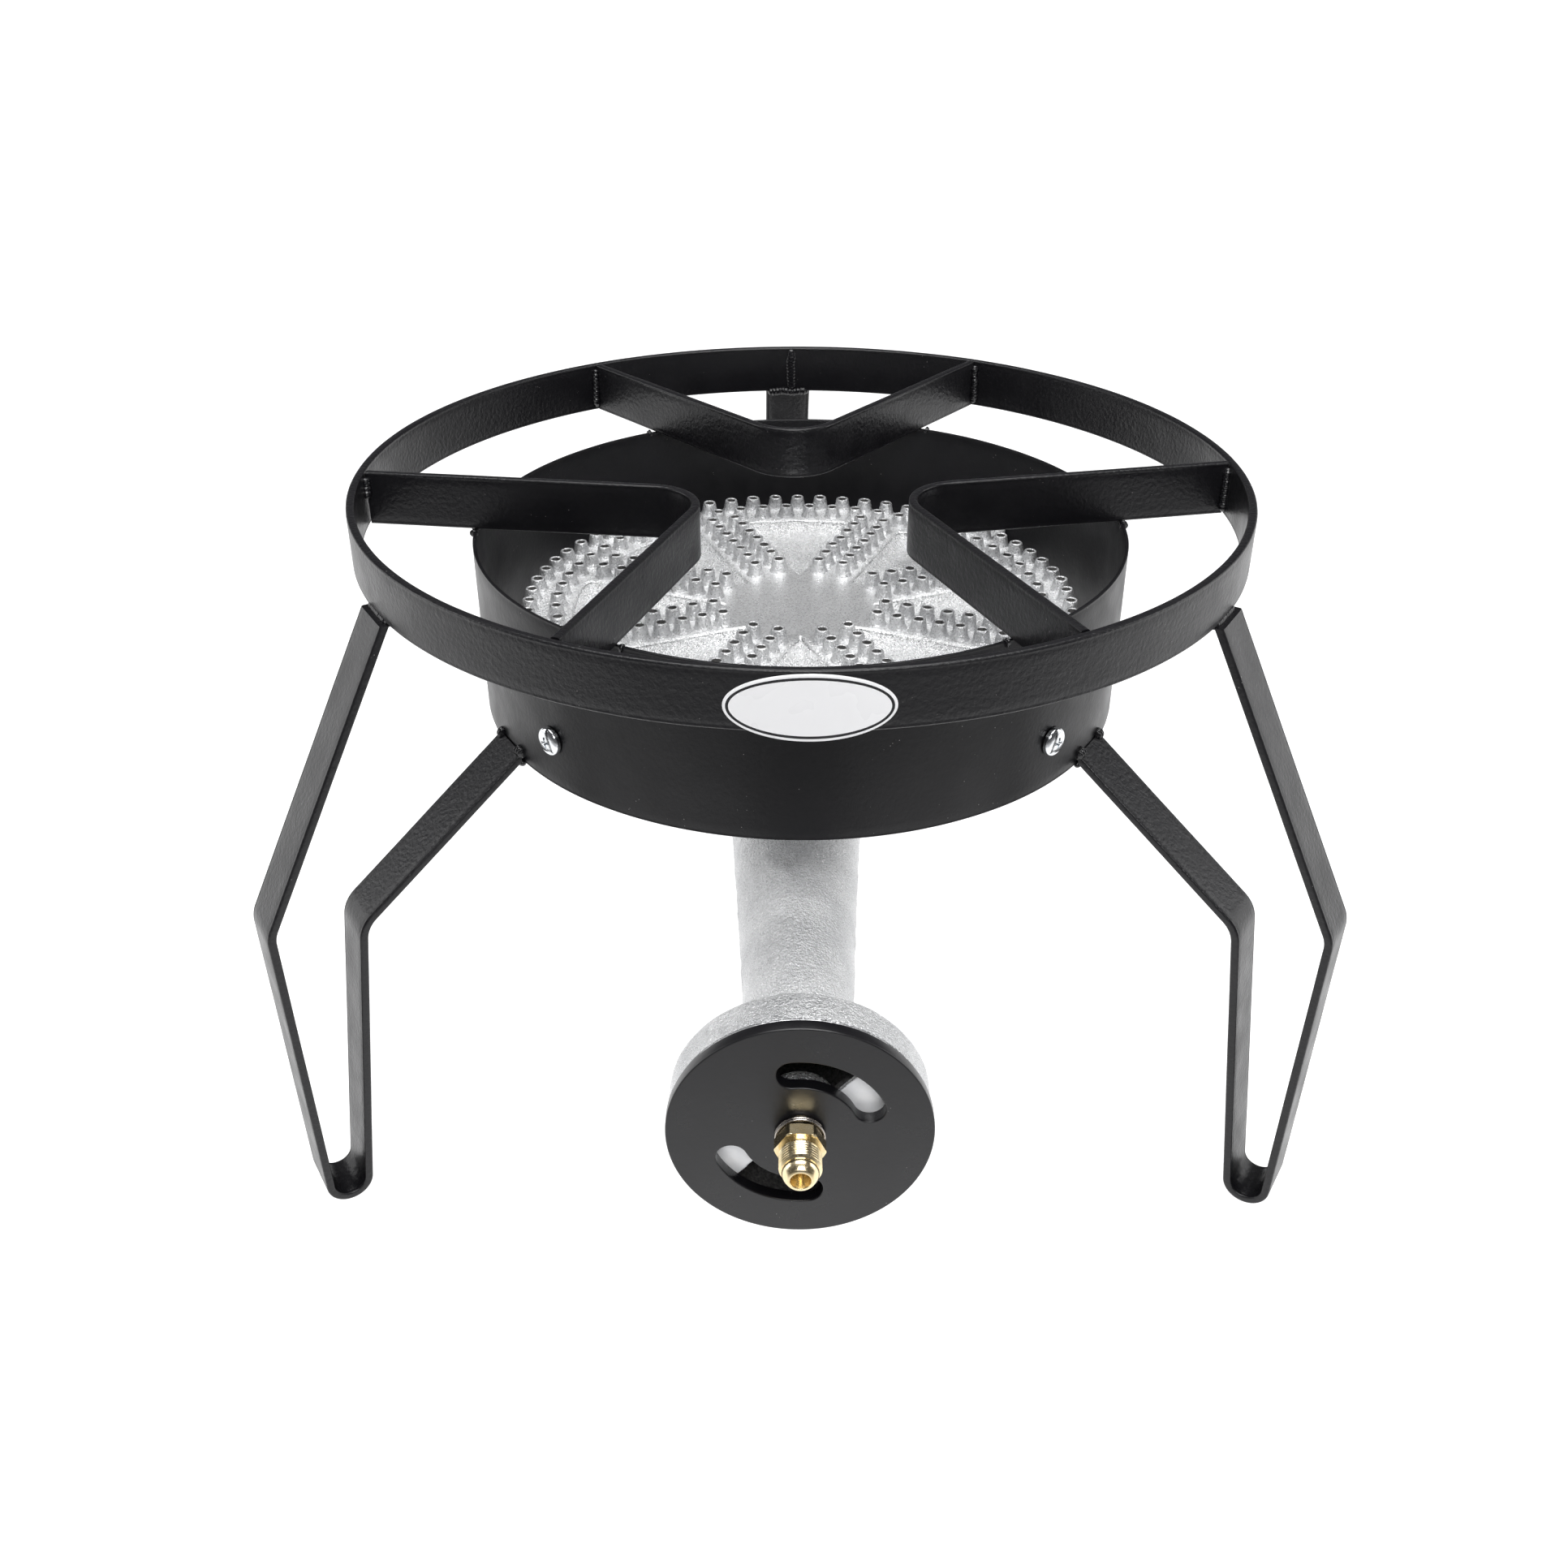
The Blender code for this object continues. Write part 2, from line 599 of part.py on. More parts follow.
def make_air_shutter():
    """A disc that turns on the fitting's shank. Its slots uncover the openings in the bell's web."""
    edge = 0.0012
    front = SHUTTER_BACK + SHUTTER_THICKNESS
    bore = FITTING_SHANK_RADIUS + GAP
    profile = [(bore, front), (SHUTTER_RADIUS - edge, front),
               (SHUTTER_RADIUS - edge * 0.3, front - edge * 0.3), (SHUTTER_RADIUS, front - edge),
               (SHUTTER_RADIUS, SHUTTER_BACK), (bore, SHUTTER_BACK)]
    shutter = turned("air_shutter", profile, TUBE_FRAME, 48, closed=True)
    middle = Matrix.Translation((0, 0, SHUTTER_BACK + SHUTTER_THICKNESS / 2))
    for number, start in enumerate((SLOT_START, SLOT_START + 180)):
        outline = slot_outline(SLOT_RADIUS, SLOT_WIDTH, start, SLOT_SPAN)
        slot = outline_curve(f"shutter_slot_{number + 1}", outline, SHUTTER_THICKNESS + 0.004,
                             TUBE_FRAME @ middle)
        cut(shutter, mesh_of(slot))
    finish(shutter, "black enamel")


def make_inlet_fitting():
    """A brass flare fitting: shank, hexagon, thread and 45 degree flare nose, bored through."""
    tip, base = FITTING_TIP, HEX_FRONT
    thread_start = base + 0.0006
    thread_end = thread_start + THREAD_LENGTH
    nose = tip - (THREAD_RADIUS - 0.0005 - FLARE_FACE_RADIUS)
    outside = [(0, tip), (FLARE_FACE_RADIUS, tip), (THREAD_RADIUS - 0.0005, nose),
               (THREAD_RADIUS - 0.0005, thread_end),
               (THREAD_RADIUS, thread_end - 0.0005), (THREAD_RADIUS, thread_start),
               (THREAD_RADIUS - 0.0008, base - 0.001), (FITTING_SHANK_RADIUS, HEX_BACK + 0.001),
               (FITTING_SHANK_RADIUS, FITTING_BACK), (0, FITTING_BACK)]
    fitting = turned("inlet_fitting", outside, TUBE_FRAME, SMALL_STEPS)
    turned_frame = TUBE_FRAME @ Matrix.Rotation(math.radians(HEX_TURN), 4, "Z")
    add(fitting, prism("fitting_hexagon", 6, HEX_ACROSS_FLATS, HEX_BACK, HEX_FRONT, turned_frame))
    socket_end = FITTING_BACK + FITTING_SOCKET_DEPTH
    bore = [(0, tip + 0.001), (FITTING_BORE_RADIUS, tip + 0.001), (FITTING_BORE_RADIUS, socket_end),
            (FITTING_SOCKET_RADIUS, socket_end), (FITTING_SOCKET_RADIUS, FITTING_BACK - 0.001),
            (0, FITTING_BACK - 0.001)]
    cut(fitting, turned("fitting_bore", bore, TUBE_FRAME, 20))
    finish(fitting, "brass")


def make_orifice_jet():
    """The jet screwed into the fitting's inner end, which meters the gas into the bell."""
    back = FITTING_BACK - GAP
    end = FITTING_BACK + FITTING_SOCKET_DEPTH - 2 * GAP
    jet = turned("orifice_jet", [(0, end), (JET_SHANK_RADIUS, end), (JET_SHANK_RADIUS, back - 0.002),
                                 (0, back - 0.002)], TUBE_FRAME, 20)
    add(jet, prism("jet_hexagon", 6, JET_HEX_ACROSS_FLATS, back - JET_HEX_LENGTH, back, TUBE_FRAME))
    hole = [(0, end + 0.001), (JET_HOLE_RADIUS * 2, end + 0.001), (JET_HOLE_RADIUS * 2, back - 0.003),
            (JET_HOLE_RADIUS, back - 0.004), (JET_HOLE_RADIUS, back - JET_HEX_LENGTH - 0.001),
            (0, back - JET_HEX_LENGTH - 0.001)]
    cut(jet, turned("jet_hole", hole, TUBE_FRAME, 12))
    finish(jet, "brass")


def make_shutter_spring():
    """A short coil between the hexagon and the shutter, which holds the shutter where it is set."""
    curve = bpy.data.curves.new("shutter_spring", "CURVE")
    curve.dimensions = "3D"
    curve.bevel_depth = SPRING_WIRE / 2
    curve.bevel_resolution = 1
    curve.use_fill_caps = True
    first = SHUTTER_BACK + SHUTTER_THICKNESS + GAP + SPRING_WIRE / 2
    last = HEX_BACK - GAP - SPRING_WIRE / 2
    count = int(20 * SPRING_TURNS)
    spline = curve.splines.new("POLY")
    spline.points.add(count)
    for i, point in enumerate(spline.points):
        angle = 2 * math.pi * SPRING_TURNS * i / count
        height = first + (last - first) * i / count
        point.co = (SPRING_RADIUS * math.cos(angle), SPRING_RADIUS * math.sin(angle), height, 1)
    finish(mesh_of(place("shutter_spring", curve, TUBE_FRAME)), "spring steel")


def make_guard_fasteners():
    """A pan head screw through the guard and each ear, with its nut behind the ear."""
    head_start = GUARD_OUTER_RADIUS + GAP
    head_end = head_start + SCREW_HEAD_HEIGHT
    dome = [(0, head_end), (SCREW_HEAD_RADIUS * 0.55, head_end - 0.0004),
            (SCREW_HEAD_RADIUS * 0.9, head_end - 0.0014), (SCREW_HEAD_RADIUS, head_start + 0.0008)]
    shank = [(SCREW_HEAD_RADIUS, head_start), (SCREW_SHANK_RADIUS, head_start),
             (SCREW_SHANK_RADIUS, SCREW_END_RADIUS + 0.0006),
             (SCREW_SHANK_RADIUS - 0.0006, SCREW_END_RADIUS), (0, SCREW_END_RADIUS)]
    nut_top = GUARD_INNER_RADIUS - 2 * GAP - EAR_THICKNESS - GAP
    for number, angle in enumerate(screw_angles()):
        frame = radial_frame(angle, SCREW_HEIGHT)
        screw = turned(f"guard_screw_{number + 1}", dome + shank, frame, 14)
        recess_depth = 0.0018
        for turn in (0, 90):
            wing = Matrix.Rotation(math.radians(turn + 20), 4, "Z")
            arm = box(f"recess_{number + 1}_{turn}", (-0.0027, -0.00055, head_end - recess_depth),
                      (0.0027, 0.00055, head_end + 0.001), frame @ wing)
            cut(screw, arm)
        finish(screw, "zinc plate")
        nut = prism(f"guard_nut_{number + 1}", 6, NUT_ACROSS_FLATS, nut_top - NUT_THICKNESS, nut_top, frame)
        cut(nut, prism(f"nut_bore_{number + 1}", 12, 2 * NUT_BORE_RADIUS, nut_top - NUT_THICKNESS - 0.001,
                       nut_top + 0.001, frame))
        finish(nut, "zinc plate")


def make_badge():
    """A blank oval plate curved to the front of the ring."""
    columns = 16
    radius = RING_OUTER_RADIUS + GAP
    work = bmesh.new()
    previous = None
    for i in range(columns + 1):
        across = -math.cos(math.pi * i / columns)
        angle = across * BADGE_WIDTH / 2 / radius
        angle += math.radians(BADGE_ANGLE)
        x, y = radius * math.sin(angle), RING_Y - radius * math.cos(angle)
        half = BADGE_HEIGHT / 2 * math.sqrt(max(0.0, 1 - across * across))
        if half < 0.0001:
            column = [work.verts.new((x, y, BADGE_CENTRE_HEIGHT))]
        else:
            column = [work.verts.new((x, y, BADGE_CENTRE_HEIGHT + side * half)) for side in (-1, 1)]
        if previous:
            work.faces.new(previous[:1] + column + previous[:0:-1])
        previous = column
    mesh = bpy.data.meshes.new("badge_plate")
    work.to_mesh(mesh)
    work.free()
    badge = place("badge_plate", mesh)
    shell = badge.modifiers.new("thickness", "SOLIDIFY")
    shell.thickness = BADGE_THICKNESS
    shell.offset = 1
    finish(badge, "white plate")


FINISHES = {
    "black coat": ((0.012, 0.012, 0.013), 0.42, 0.0),
    "black enamel": ((0.012, 0.012, 0.014), 0.3, 0.0),
    "silver casting": ((0.62, 0.63, 0.64), 0.38, 0.9),
    "brass": ((0.78, 0.6, 0.28), 0.2, 1.0),
    "spring steel": ((0.35, 0.33, 0.31), 0.3, 1.0),
    "zinc plate": ((0.75, 0.77, 0.78), 0.18, 1.0),
    "white plate": ((0.85, 0.85, 0.86), 0.35, 0.0),
}

clear_scene()
PARTS = make_collection("propane_burner_stand")
CUTTERS = make_collection("cutters", hidden=True)
make_pot_ring()
make_pot_supports()
make_legs()
make_wind_guard()
make_burner()
make_air_shutter()
make_inlet_fitting()
make_orifice_jet()
make_shutter_spring()
make_guard_fasteners()
make_badge()
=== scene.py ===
"""The finish of the propane burner stand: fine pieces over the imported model, materials and a small studio."""

import json
import math
import random

import bmesh
import bpy
import numpy as np
from mathutils import Matrix, Vector, noise

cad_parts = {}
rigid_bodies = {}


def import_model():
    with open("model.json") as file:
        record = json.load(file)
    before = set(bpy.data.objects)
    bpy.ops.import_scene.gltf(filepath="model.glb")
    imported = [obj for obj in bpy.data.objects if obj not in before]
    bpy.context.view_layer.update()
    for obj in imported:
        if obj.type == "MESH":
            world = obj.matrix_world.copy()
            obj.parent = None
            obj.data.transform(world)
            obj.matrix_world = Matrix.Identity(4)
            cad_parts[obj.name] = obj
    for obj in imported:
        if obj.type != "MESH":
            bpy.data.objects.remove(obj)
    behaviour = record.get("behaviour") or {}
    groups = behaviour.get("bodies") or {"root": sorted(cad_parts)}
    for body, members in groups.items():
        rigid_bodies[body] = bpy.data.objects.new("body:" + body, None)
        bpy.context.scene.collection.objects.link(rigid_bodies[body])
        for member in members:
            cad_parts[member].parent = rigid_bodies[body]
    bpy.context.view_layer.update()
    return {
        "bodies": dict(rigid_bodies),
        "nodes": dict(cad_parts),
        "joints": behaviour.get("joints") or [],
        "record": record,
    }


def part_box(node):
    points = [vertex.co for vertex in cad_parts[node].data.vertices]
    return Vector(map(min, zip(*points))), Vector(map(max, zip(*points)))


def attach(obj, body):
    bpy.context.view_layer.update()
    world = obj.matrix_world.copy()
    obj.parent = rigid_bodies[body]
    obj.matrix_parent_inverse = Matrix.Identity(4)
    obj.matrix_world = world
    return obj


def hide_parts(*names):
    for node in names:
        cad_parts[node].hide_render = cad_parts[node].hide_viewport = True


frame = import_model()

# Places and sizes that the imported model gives.
RING_LOW, RING_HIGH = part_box("pot_ring")
GUARD_LOW, GUARD_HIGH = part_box("wind_guard")
SHUTTER_LOW, SHUTTER_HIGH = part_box("air_shutter")
CASTING_LOW, CASTING_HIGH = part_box("burner_casting")
FITTING_LOW, FITTING_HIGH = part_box("inlet_fitting")
SPRING_LOW, SPRING_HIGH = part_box("shutter_spring")
BADGE_LOW, BADGE_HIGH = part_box("badge_plate")
JET_LOW, JET_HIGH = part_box("orifice_jet")
AXIS = Vector(((RING_LOW.x + RING_HIGH.x) / 2, (RING_LOW.y + RING_HIGH.y) / 2, 0))
RING_RADIUS = (RING_HIGH.x - RING_LOW.x) / 2
RING_TOP = RING_HIGH.z
RING_BOTTOM = RING_LOW.z
GUARD_RADIUS = (GUARD_HIGH.x - GUARD_LOW.x) / 2
TUBE_X = (SHUTTER_LOW.x + SHUTTER_HIGH.x) / 2
TUBE_Z = (SHUTTER_LOW.z + SHUTTER_HIGH.z) / 2
SHUTTER_RADIUS = (SHUTTER_HIGH.z - SHUTTER_LOW.z) / 2
SHUTTER_FRONT = AXIS.y - SHUTTER_LOW.y
SHUTTER_BACK = AXIS.y - SHUTTER_HIGH.y
FITTING_TIP = AXIS.y - FITTING_LOW.y
FITTING_BACK = AXIS.y - FITTING_HIGH.y

# Flat bar and sheet.
GAP = 0.0003
BAR_WIDTH = RING_TOP - RING_BOTTOM
BAR_THICKNESS = 0.004
BAR_CORNER = 0.0011
GUARD_WALL = 0.002

# The turn of each leg and pot support about the ring's axis, in degrees.
LEG_ANGLES = {"back": 91.5, "left": 210.6, "right": 328.8}
SUPPORT_ANGLES = {"back": 92.2, "left": 211.8, "right": 332.2}
SEAM_ANGLE = 91.0

SUPPORT_END_ANGLE = 31.0
SUPPORT_APEX_RADIUS = 0.045
SUPPORT_BEND_RADIUS = 0.023

LEG_TOP_RADIUS = 0.2036
LEG_OUTER_KNEE = (0.2713, 0.1603)
LEG_FOOT_RADIUS = 0.258
LEG_FOOT_BEND_RADIUS = 0.0093
LEG_INNER_KNEE = (0.2316, 0.1518)
LEG_GUARD_END_HEIGHT = 0.2148
LEG_KNEE_BEND_RADIUS = 0.015

# The cast burner.
SPOKE_NOZZLE_HEIGHT = 0.0072
RING_NOZZLE_HEIGHT = 0.006
HEAD_TOP = CASTING_HIGH.z - SPOKE_NOZZLE_HEIGHT
HEAD_RADIUS = 0.1335
HEAD_SIDE_HEIGHT = 0.021
NECK_RADIUS = 0.034
SPOKE_COUNT = 8
SPOKE_HALF_WIDTH = 0.013
POCKET_DEPTH = 0.005
POCKET_OUTER_RADIUS = 0.1085
NOZZLE_RINGS = ((0.129, 66, 0.5), (0.1158, 58, 0.0))
SPOKE_ROW_OFFSET = 0.0064
SPOKE_ROW_START = 0.0415
SPOKE_ROW_PITCH = 0.01015
SPOKE_ROW_COUNT = 7
TUBE_START_RADIUS = 0.0341
THROAT_REACH = 0.205
THROAT_RADIUS = 0.0208
BELL_REACH = 0.243
BELL_RADIUS = 0.0489
WEB_FRONT = 0.2593
WEB_THICKNESS = 0.0053
CASTING_WALL = 0.0045
WEB_OPENING_START = 48.0
WEB_OPENING_SPAN = 90.0
BOSS_RADIUS = 0.0135
BOSS_BACK = 0.245
SLOT_RADIUS = 0.028
SLOT_WIDTH = 0.0117
SLOT_START = 25.0
SLOT_SPAN = 71.0

FACES_ALONG_Y = Matrix.Rotation(math.pi / 2, 4, "X")
RING_CENTRE = Matrix.Translation(AXIS)
TUBE_FRAME = Matrix.Translation((TUBE_X, AXIS.y, TUBE_Z)) @ FACES_ALONG_Y


# ---------------------------------------------------------------- mesh helpers

def grid_faces(rows, columns, close_rows=False, close_columns=True):
    """Quads over a grid of points that is listed row by row."""
    i = np.arange(rows if close_rows else rows - 1)[:, None]
    j = np.arange(columns if close_columns else columns - 1)[None, :]
    below, beside = (i + 1) % rows, (j + 1) % columns
    corners = [i * columns + j, i * columns + beside, below * columns + beside, below * columns + j]
    return np.stack(np.broadcast_arrays(*corners), -1).reshape(-1, 4)


def moved(points, matrix):
    m = np.array(matrix)
    return np.asarray(points, float) @ m[:3, :3].T + m[:3, 3]


def turned(profile, steps, shape=None, closed=False):
    """Points and quads of a (radius, height) profile turned about Z; shape changes radii by angle."""
    angles = np.linspace(0, 2 * math.pi, steps, endpoint=False)[None, :]
    radii = np.array([p[0] for p in profile], float)[:, None] + angles * 0
    heights = np.array([p[1] for p in profile], float)[:, None] + angles * 0
    if shape:
        radii, heights = shape(radii, heights, angles)
    points = np.stack([radii * np.cos(angles), radii * np.sin(angles), heights], -1).reshape(-1, 3)
    return points, grid_faces(len(profile), steps, close_rows=closed)


def fine(profile, step):
    """The same profile with points added so that none are further apart than step."""
    out = [profile[0]]
    for (r0, h0), (r1, h1) in zip(profile, profile[1:]):
        count = max(1, math.ceil(math.hypot(r1 - r0, h1 - h0) / step))
        out += [(r0 + (r1 - r0) * i / count, h0 + (h1 - h0) * i / count) for i in range(1, count + 1)]
    return out


def new_mesh(name, shells):
    """One mesh from several (points, faces), with doubled points merged and faces turned outwards.

    A shell may have a third member: a set of the face numbers that take the second material.
    """
    mesh = bpy.data.meshes.new(name)
    work = bmesh.new()
    for points, faces, *second in shells:
        made = [work.verts.new(p) for p in np.asarray(points).tolist()]
        for number, face in enumerate(faces):
            corners = []
            for index in face:
                if made[index] not in corners:
                    corners.append(made[index])
            if len(corners) > 2:
                new_face = work.faces.new(corners)
                new_face.material_index = 1 if second and number in second[0] else 0
    bmesh.ops.remove_doubles(work, verts=work.verts, dist=0.0000005)
    bmesh.ops.recalc_face_normals(work, faces=work.faces)
    work.to_mesh(mesh)
    work.free()
    return mesh


def add_piece(name, mesh, material, body="stand", stands_for=(), sharp=40):
    """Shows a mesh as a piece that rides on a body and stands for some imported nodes."""
    chosen = [face.material_index for face in mesh.polygons]
    mesh.materials.clear()
    for each in material if isinstance(material, list) else [material]:
        mesh.materials.append(each)
    mesh.polygons.foreach_set("material_index", chosen)
    mesh.shade_smooth()
    if sharp:
        mesh.set_sharp_from_angle(angle=math.radians(sharp))
    piece = bpy.data.objects.new(name, mesh)
    bpy.context.scene.collection.objects.link(piece)
    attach(piece, body)
    if stands_for:
        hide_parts(*stands_for)
    return piece


def plain_object(name, mesh):
    obj = bpy.data.objects.new(name, mesh)
    bpy.context.scene.collection.objects.link(obj)
    return obj


def boolean(mesh, others, operation, solver="MANIFOLD"):
    """A mesh with other meshes cut from it or joined to it."""
    obj = plain_object("boolean_work", mesh)
    helpers = []
    for other in others:
        helper = plain_object("boolean_helper", other)
        modifier = obj.modifiers.new("boolean", "BOOLEAN")
        modifier.operation = operation
        modifier.object = helper
        modifier.solver = solver
        helpers.append(helper)
    result = evaluated_mesh(obj)
    for helper in helpers:
        bpy.data.objects.remove(helper, do_unlink=True)
    return result


def evaluated_mesh(obj):
    """The object's mesh with its modifiers applied. The object is removed."""
    bpy.context.view_layer.update()
    graph = bpy.context.evaluated_depsgraph_get()
    mesh = bpy.data.meshes.new_from_object(obj.evaluated_get(graph))
    mesh.transform(obj.matrix_world)
    bpy.data.objects.remove(obj, do_unlink=True)
    return mesh


def remeshed(mesh, voxel):
    obj = plain_object("remesh_work", mesh)
    modifier = obj.modifiers.new("remesh", "REMESH")
    modifier.mode = "VOXEL"
    modifier.voxel_size = voxel
    return evaluated_mesh(obj)


def smoothed(mesh, repeats):
    work = bmesh.new()
    work.from_mesh(mesh)
    for _ in range(repeats):
        bmesh.ops.smooth_vert(work, verts=work.verts, factor=0.5, use_axis_x=True, use_axis_y=True,
                              use_axis_z=True)
    work.to_mesh(mesh)
    work.free()
    return mesh


def roughened(mesh, amounts, share=None):
    """Moves points along their normals by seeded noise: amounts holds (size of a bump, its height).

    share gives the part of it that a point takes, from 0 to 1.
    """
    points = [v.co.copy() for v in mesh.vertices]
    normals = [v.normal.copy() for v in mesh.vertices]
    for vertex, point, normal in zip(mesh.vertices, points, normals):
        push = sum(noise.noise(point / size) * height for size, height in amounts)
        vertex.co = point + normal * (push * share(point) if share else push)
    mesh.update()
    return mesh


# ---------------------------------------------------------------- paths

def arc(centre, radius, start, end, count):
    angles = [math.radians(start + (end - start) * i / count) for i in range(count + 1)]
    return [(centre[0] + radius * math.cos(a), centre[1] + radius * math.sin(a)) for a in angles]


def bend_path(corners, count=10):
    """A path through corners of (point, bend radius): a list of (point, left-hand normal)."""
    points = [Vector(point) for point, _ in corners]
    path = []
    for i, (_, radius) in enumerate(corners):
        here = points[i]
        before = (here - points[i - 1]).normalized() if i else None
        after = (points[i + 1] - here).normalized() if i + 1 < len(points) else None
        if before is None or after is None:
            along = after or before
            path.append((here, Vector((-along.y, along.x))))
            continue
        turn = before.angle_signed(after) * -1
        reach = radius * math.tan(abs(turn) / 2)
        start_normal = Vector((-before.y, before.x))
        centre = here - before * reach + start_normal * math.copysign(radius, turn)
        for step in range(count + 1):
            normal = Matrix.Rotation(turn * step / count, 2) @ start_normal
            path.append((centre - normal * math.copysign(radius, turn), normal))
    return path


def fine_path(path, step=0.004):
    out = [path[0]]
    for (p0, n0), (p1, n1) in zip(path, path[1:]):
        count = max(1, math.ceil((p1 - p0).length / step))
        for i in range(1, count + 1):
            t = i / count
            out.append((p0.lerp(p1, t), n0.lerp(n1, t).normalized()))
    return out


def bar_section(thickness, width, corner, columns=6, steps=4, crease=0.00016):
    """A rounded rectangle of (across the thickness, across the width), its long sides creased at their ends."""
    half_t, half_w = thickness / 2 - corner, width / 2 - corner
    section = []
    for sign_t, sign_w, start in ((1, -1, -90), (1, 1, 0), (-1, 1, 90), (-1, -1, 180)):
        section += arc((sign_t * half_t, sign_w * half_w), corner, start, start + 90, steps)
        if sign_t == -sign_w:
            ends = [-half_w, half_w] if sign_t > 0 else [half_w, -half_w]
            side = sign_t * thickness / 2
            inwards = math.copysign(1, ends[1] - ends[0])
            section += [(side - sign_t * crease, ends[0] + inwards * 0.0004), (side, ends[0] + inwards * 0.0011)]
            section += [(side, ends[0] + (ends[1] - ends[0]) * i / columns) for i in range(1, columns)]
            section += [(side, ends[1] - inwards * 0.0011), (side - sign_t * crease, ends[1] - inwards * 0.0004)]
    return section


def wobble(point, seed, size, height):
    return noise.noise(point / size + Vector((seed, 0.37 * seed, 0))) * height


def bar_mesh(name, path, section, lift, closed=False, seed=0, trims=None, dents=0.00016):
    """A section swept along a plane path. lift places a plane point and a distance across the plane.

    trims maps a row of the path to a function that moves its plane points, for a mitred end.
    """
    rows, columns = len(path), len(section)
    points = []
    for row, (point, normal) in enumerate(path):
        trim = (trims or {}).get(row, lambda flat: flat)
        points += [lift(trim(point + normal * across), up) for across, up in section]
    faces = [tuple(f) for f in grid_faces(rows, columns, close_rows=closed)]
    if not closed:
        faces.append(tuple(range(columns)))
        faces.append(tuple(range((rows - 1) * columns, rows * columns)))
    mesh = new_mesh(name, [(points, faces)])
    for vertex in mesh.vertices:
        dent = wobble(vertex.co, seed, 0.05, 1) + wobble(vertex.co, seed + 7, 0.014, 0.3) - 1.3
        vertex.co += vertex.normal * dent * dents / 2
    return mesh


# ---------------------------------------------------------------- materials

def new_material(name, colour, roughness, metallic):
    material = bpy.data.materials.new(name)
    material.use_nodes = True
    tree = material.node_tree
    shader = tree.nodes["Principled BSDF"]
    shader.inputs["Base Color"].default_value = (*colour, 1)
    shader.inputs["Roughness"].default_value = roughness
    shader.inputs["Metallic"].default_value = metallic
    material.diffuse_color = (*colour, 1)
    return material, tree, shader


def coordinates(tree):
    return tree.nodes.new("ShaderNodeTexCoord").outputs["Object"]


def noise_texture(tree, scale, detail=2.0, rough=0.5):
    node = tree.nodes.new("ShaderNodeTexNoise")
    node.inputs["Scale"].default_value = scale
    node.inputs["Detail"].default_value = detail
    node.inputs["Roughness"].default_value = rough
    tree.links.new(coordinates(tree), node.inputs["Vector"])
    return node.outputs["Fac"]


def cells(tree, scale, randomness=1.0):
    node = tree.nodes.new("ShaderNodeTexVoronoi")
    node.inputs["Scale"].default_value = scale
    node.inputs["Randomness"].default_value = randomness
    tree.links.new(coordinates(tree), node.inputs["Vector"])
    return node.outputs["Distance"]


def remap(tree, value, low, high, to_low, to_high):
    node = tree.nodes.new("ShaderNodeMapRange")
    node.inputs["From Min"].default_value = low
    node.inputs["From Max"].default_value = high
    node.inputs["To Min"].default_value = to_low
    node.inputs["To Max"].default_value = to_high
    tree.links.new(value, node.inputs["Value"])
    return node.outputs["Result"]


def mix_colour(tree, amount, first, second):
    """A blend of two colours, each a tuple or another node's output."""
    node = tree.nodes.new("ShaderNodeMix")
    node.data_type = "RGBA"
    tree.links.new(amount, node.inputs["Factor"])
    for socket, value in ((node.inputs[6], first), (node.inputs[7], second)):
        if isinstance(value, tuple):
            socket.default_value = (*value, 1)
        else:
            tree.links.new(value, socket)
    return node.outputs[2]


def math_node(tree, operation, first, second):
    node = tree.nodes.new("ShaderNodeMath")
    node.operation = operation
    for socket, value in zip(node.inputs, (first, second)):
        if isinstance(value, (int, float)):
            socket.default_value = value
        else:
            tree.links.new(value, socket)
    return node.outputs[0]


def attribute(tree, name):
    node = tree.nodes.new("ShaderNodeAttribute")
    node.attribute_name = name
    return node.outputs["Fac"]


def bump(tree, height, distance, strength=1.0, base=None):
    node = tree.nodes.new("ShaderNodeBump")
    node.inputs["Strength"].default_value = strength
    node.inputs["Distance"].default_value = distance
    tree.links.new(height, node.inputs["Height"])
    if base:
        tree.links.new(base, node.inputs["Normal"])
    return node.outputs["Normal"]


def black_coat(name, roughness, peel, shine, specks=True):
    """Satin black powder coat: orange peel, small pits and a few grey specks of dust."""
    base = (0.0052, 0.005, 0.0062)
    material, tree, shader = new_material(name, base, roughness, 0.0)
    shader.inputs["Specular IOR Level"].default_value = shine
    patchy = noise_texture(tree, 60, 3)
    tree.links.new(remap(tree, patchy, 0.3, 0.7, roughness - 0.05, roughness + 0.06), shader.inputs["Roughness"])
    if specks:
        dust = remap(tree, cells(tree, 420), 0.06, 0.1, 1.0, 0.0)
        rare = remap(tree, noise_texture(tree, 90, 2), 0.6, 0.66, 0.0, 1.0)
        colour = mix_colour(tree, math_node(tree, "MULTIPLY", dust, rare), base, (0.2, 0.19, 0.19))
        tree.links.new(colour, shader.inputs["Base Color"])
    coarse = bump(tree, noise_texture(tree, 520, 2, 0.45), peel)
    finer = bump(tree, noise_texture(tree, 1500, 2, 0.5), peel * 0.3, base=coarse)
    tree.links.new(finer, shader.inputs["Normal"])
    return material


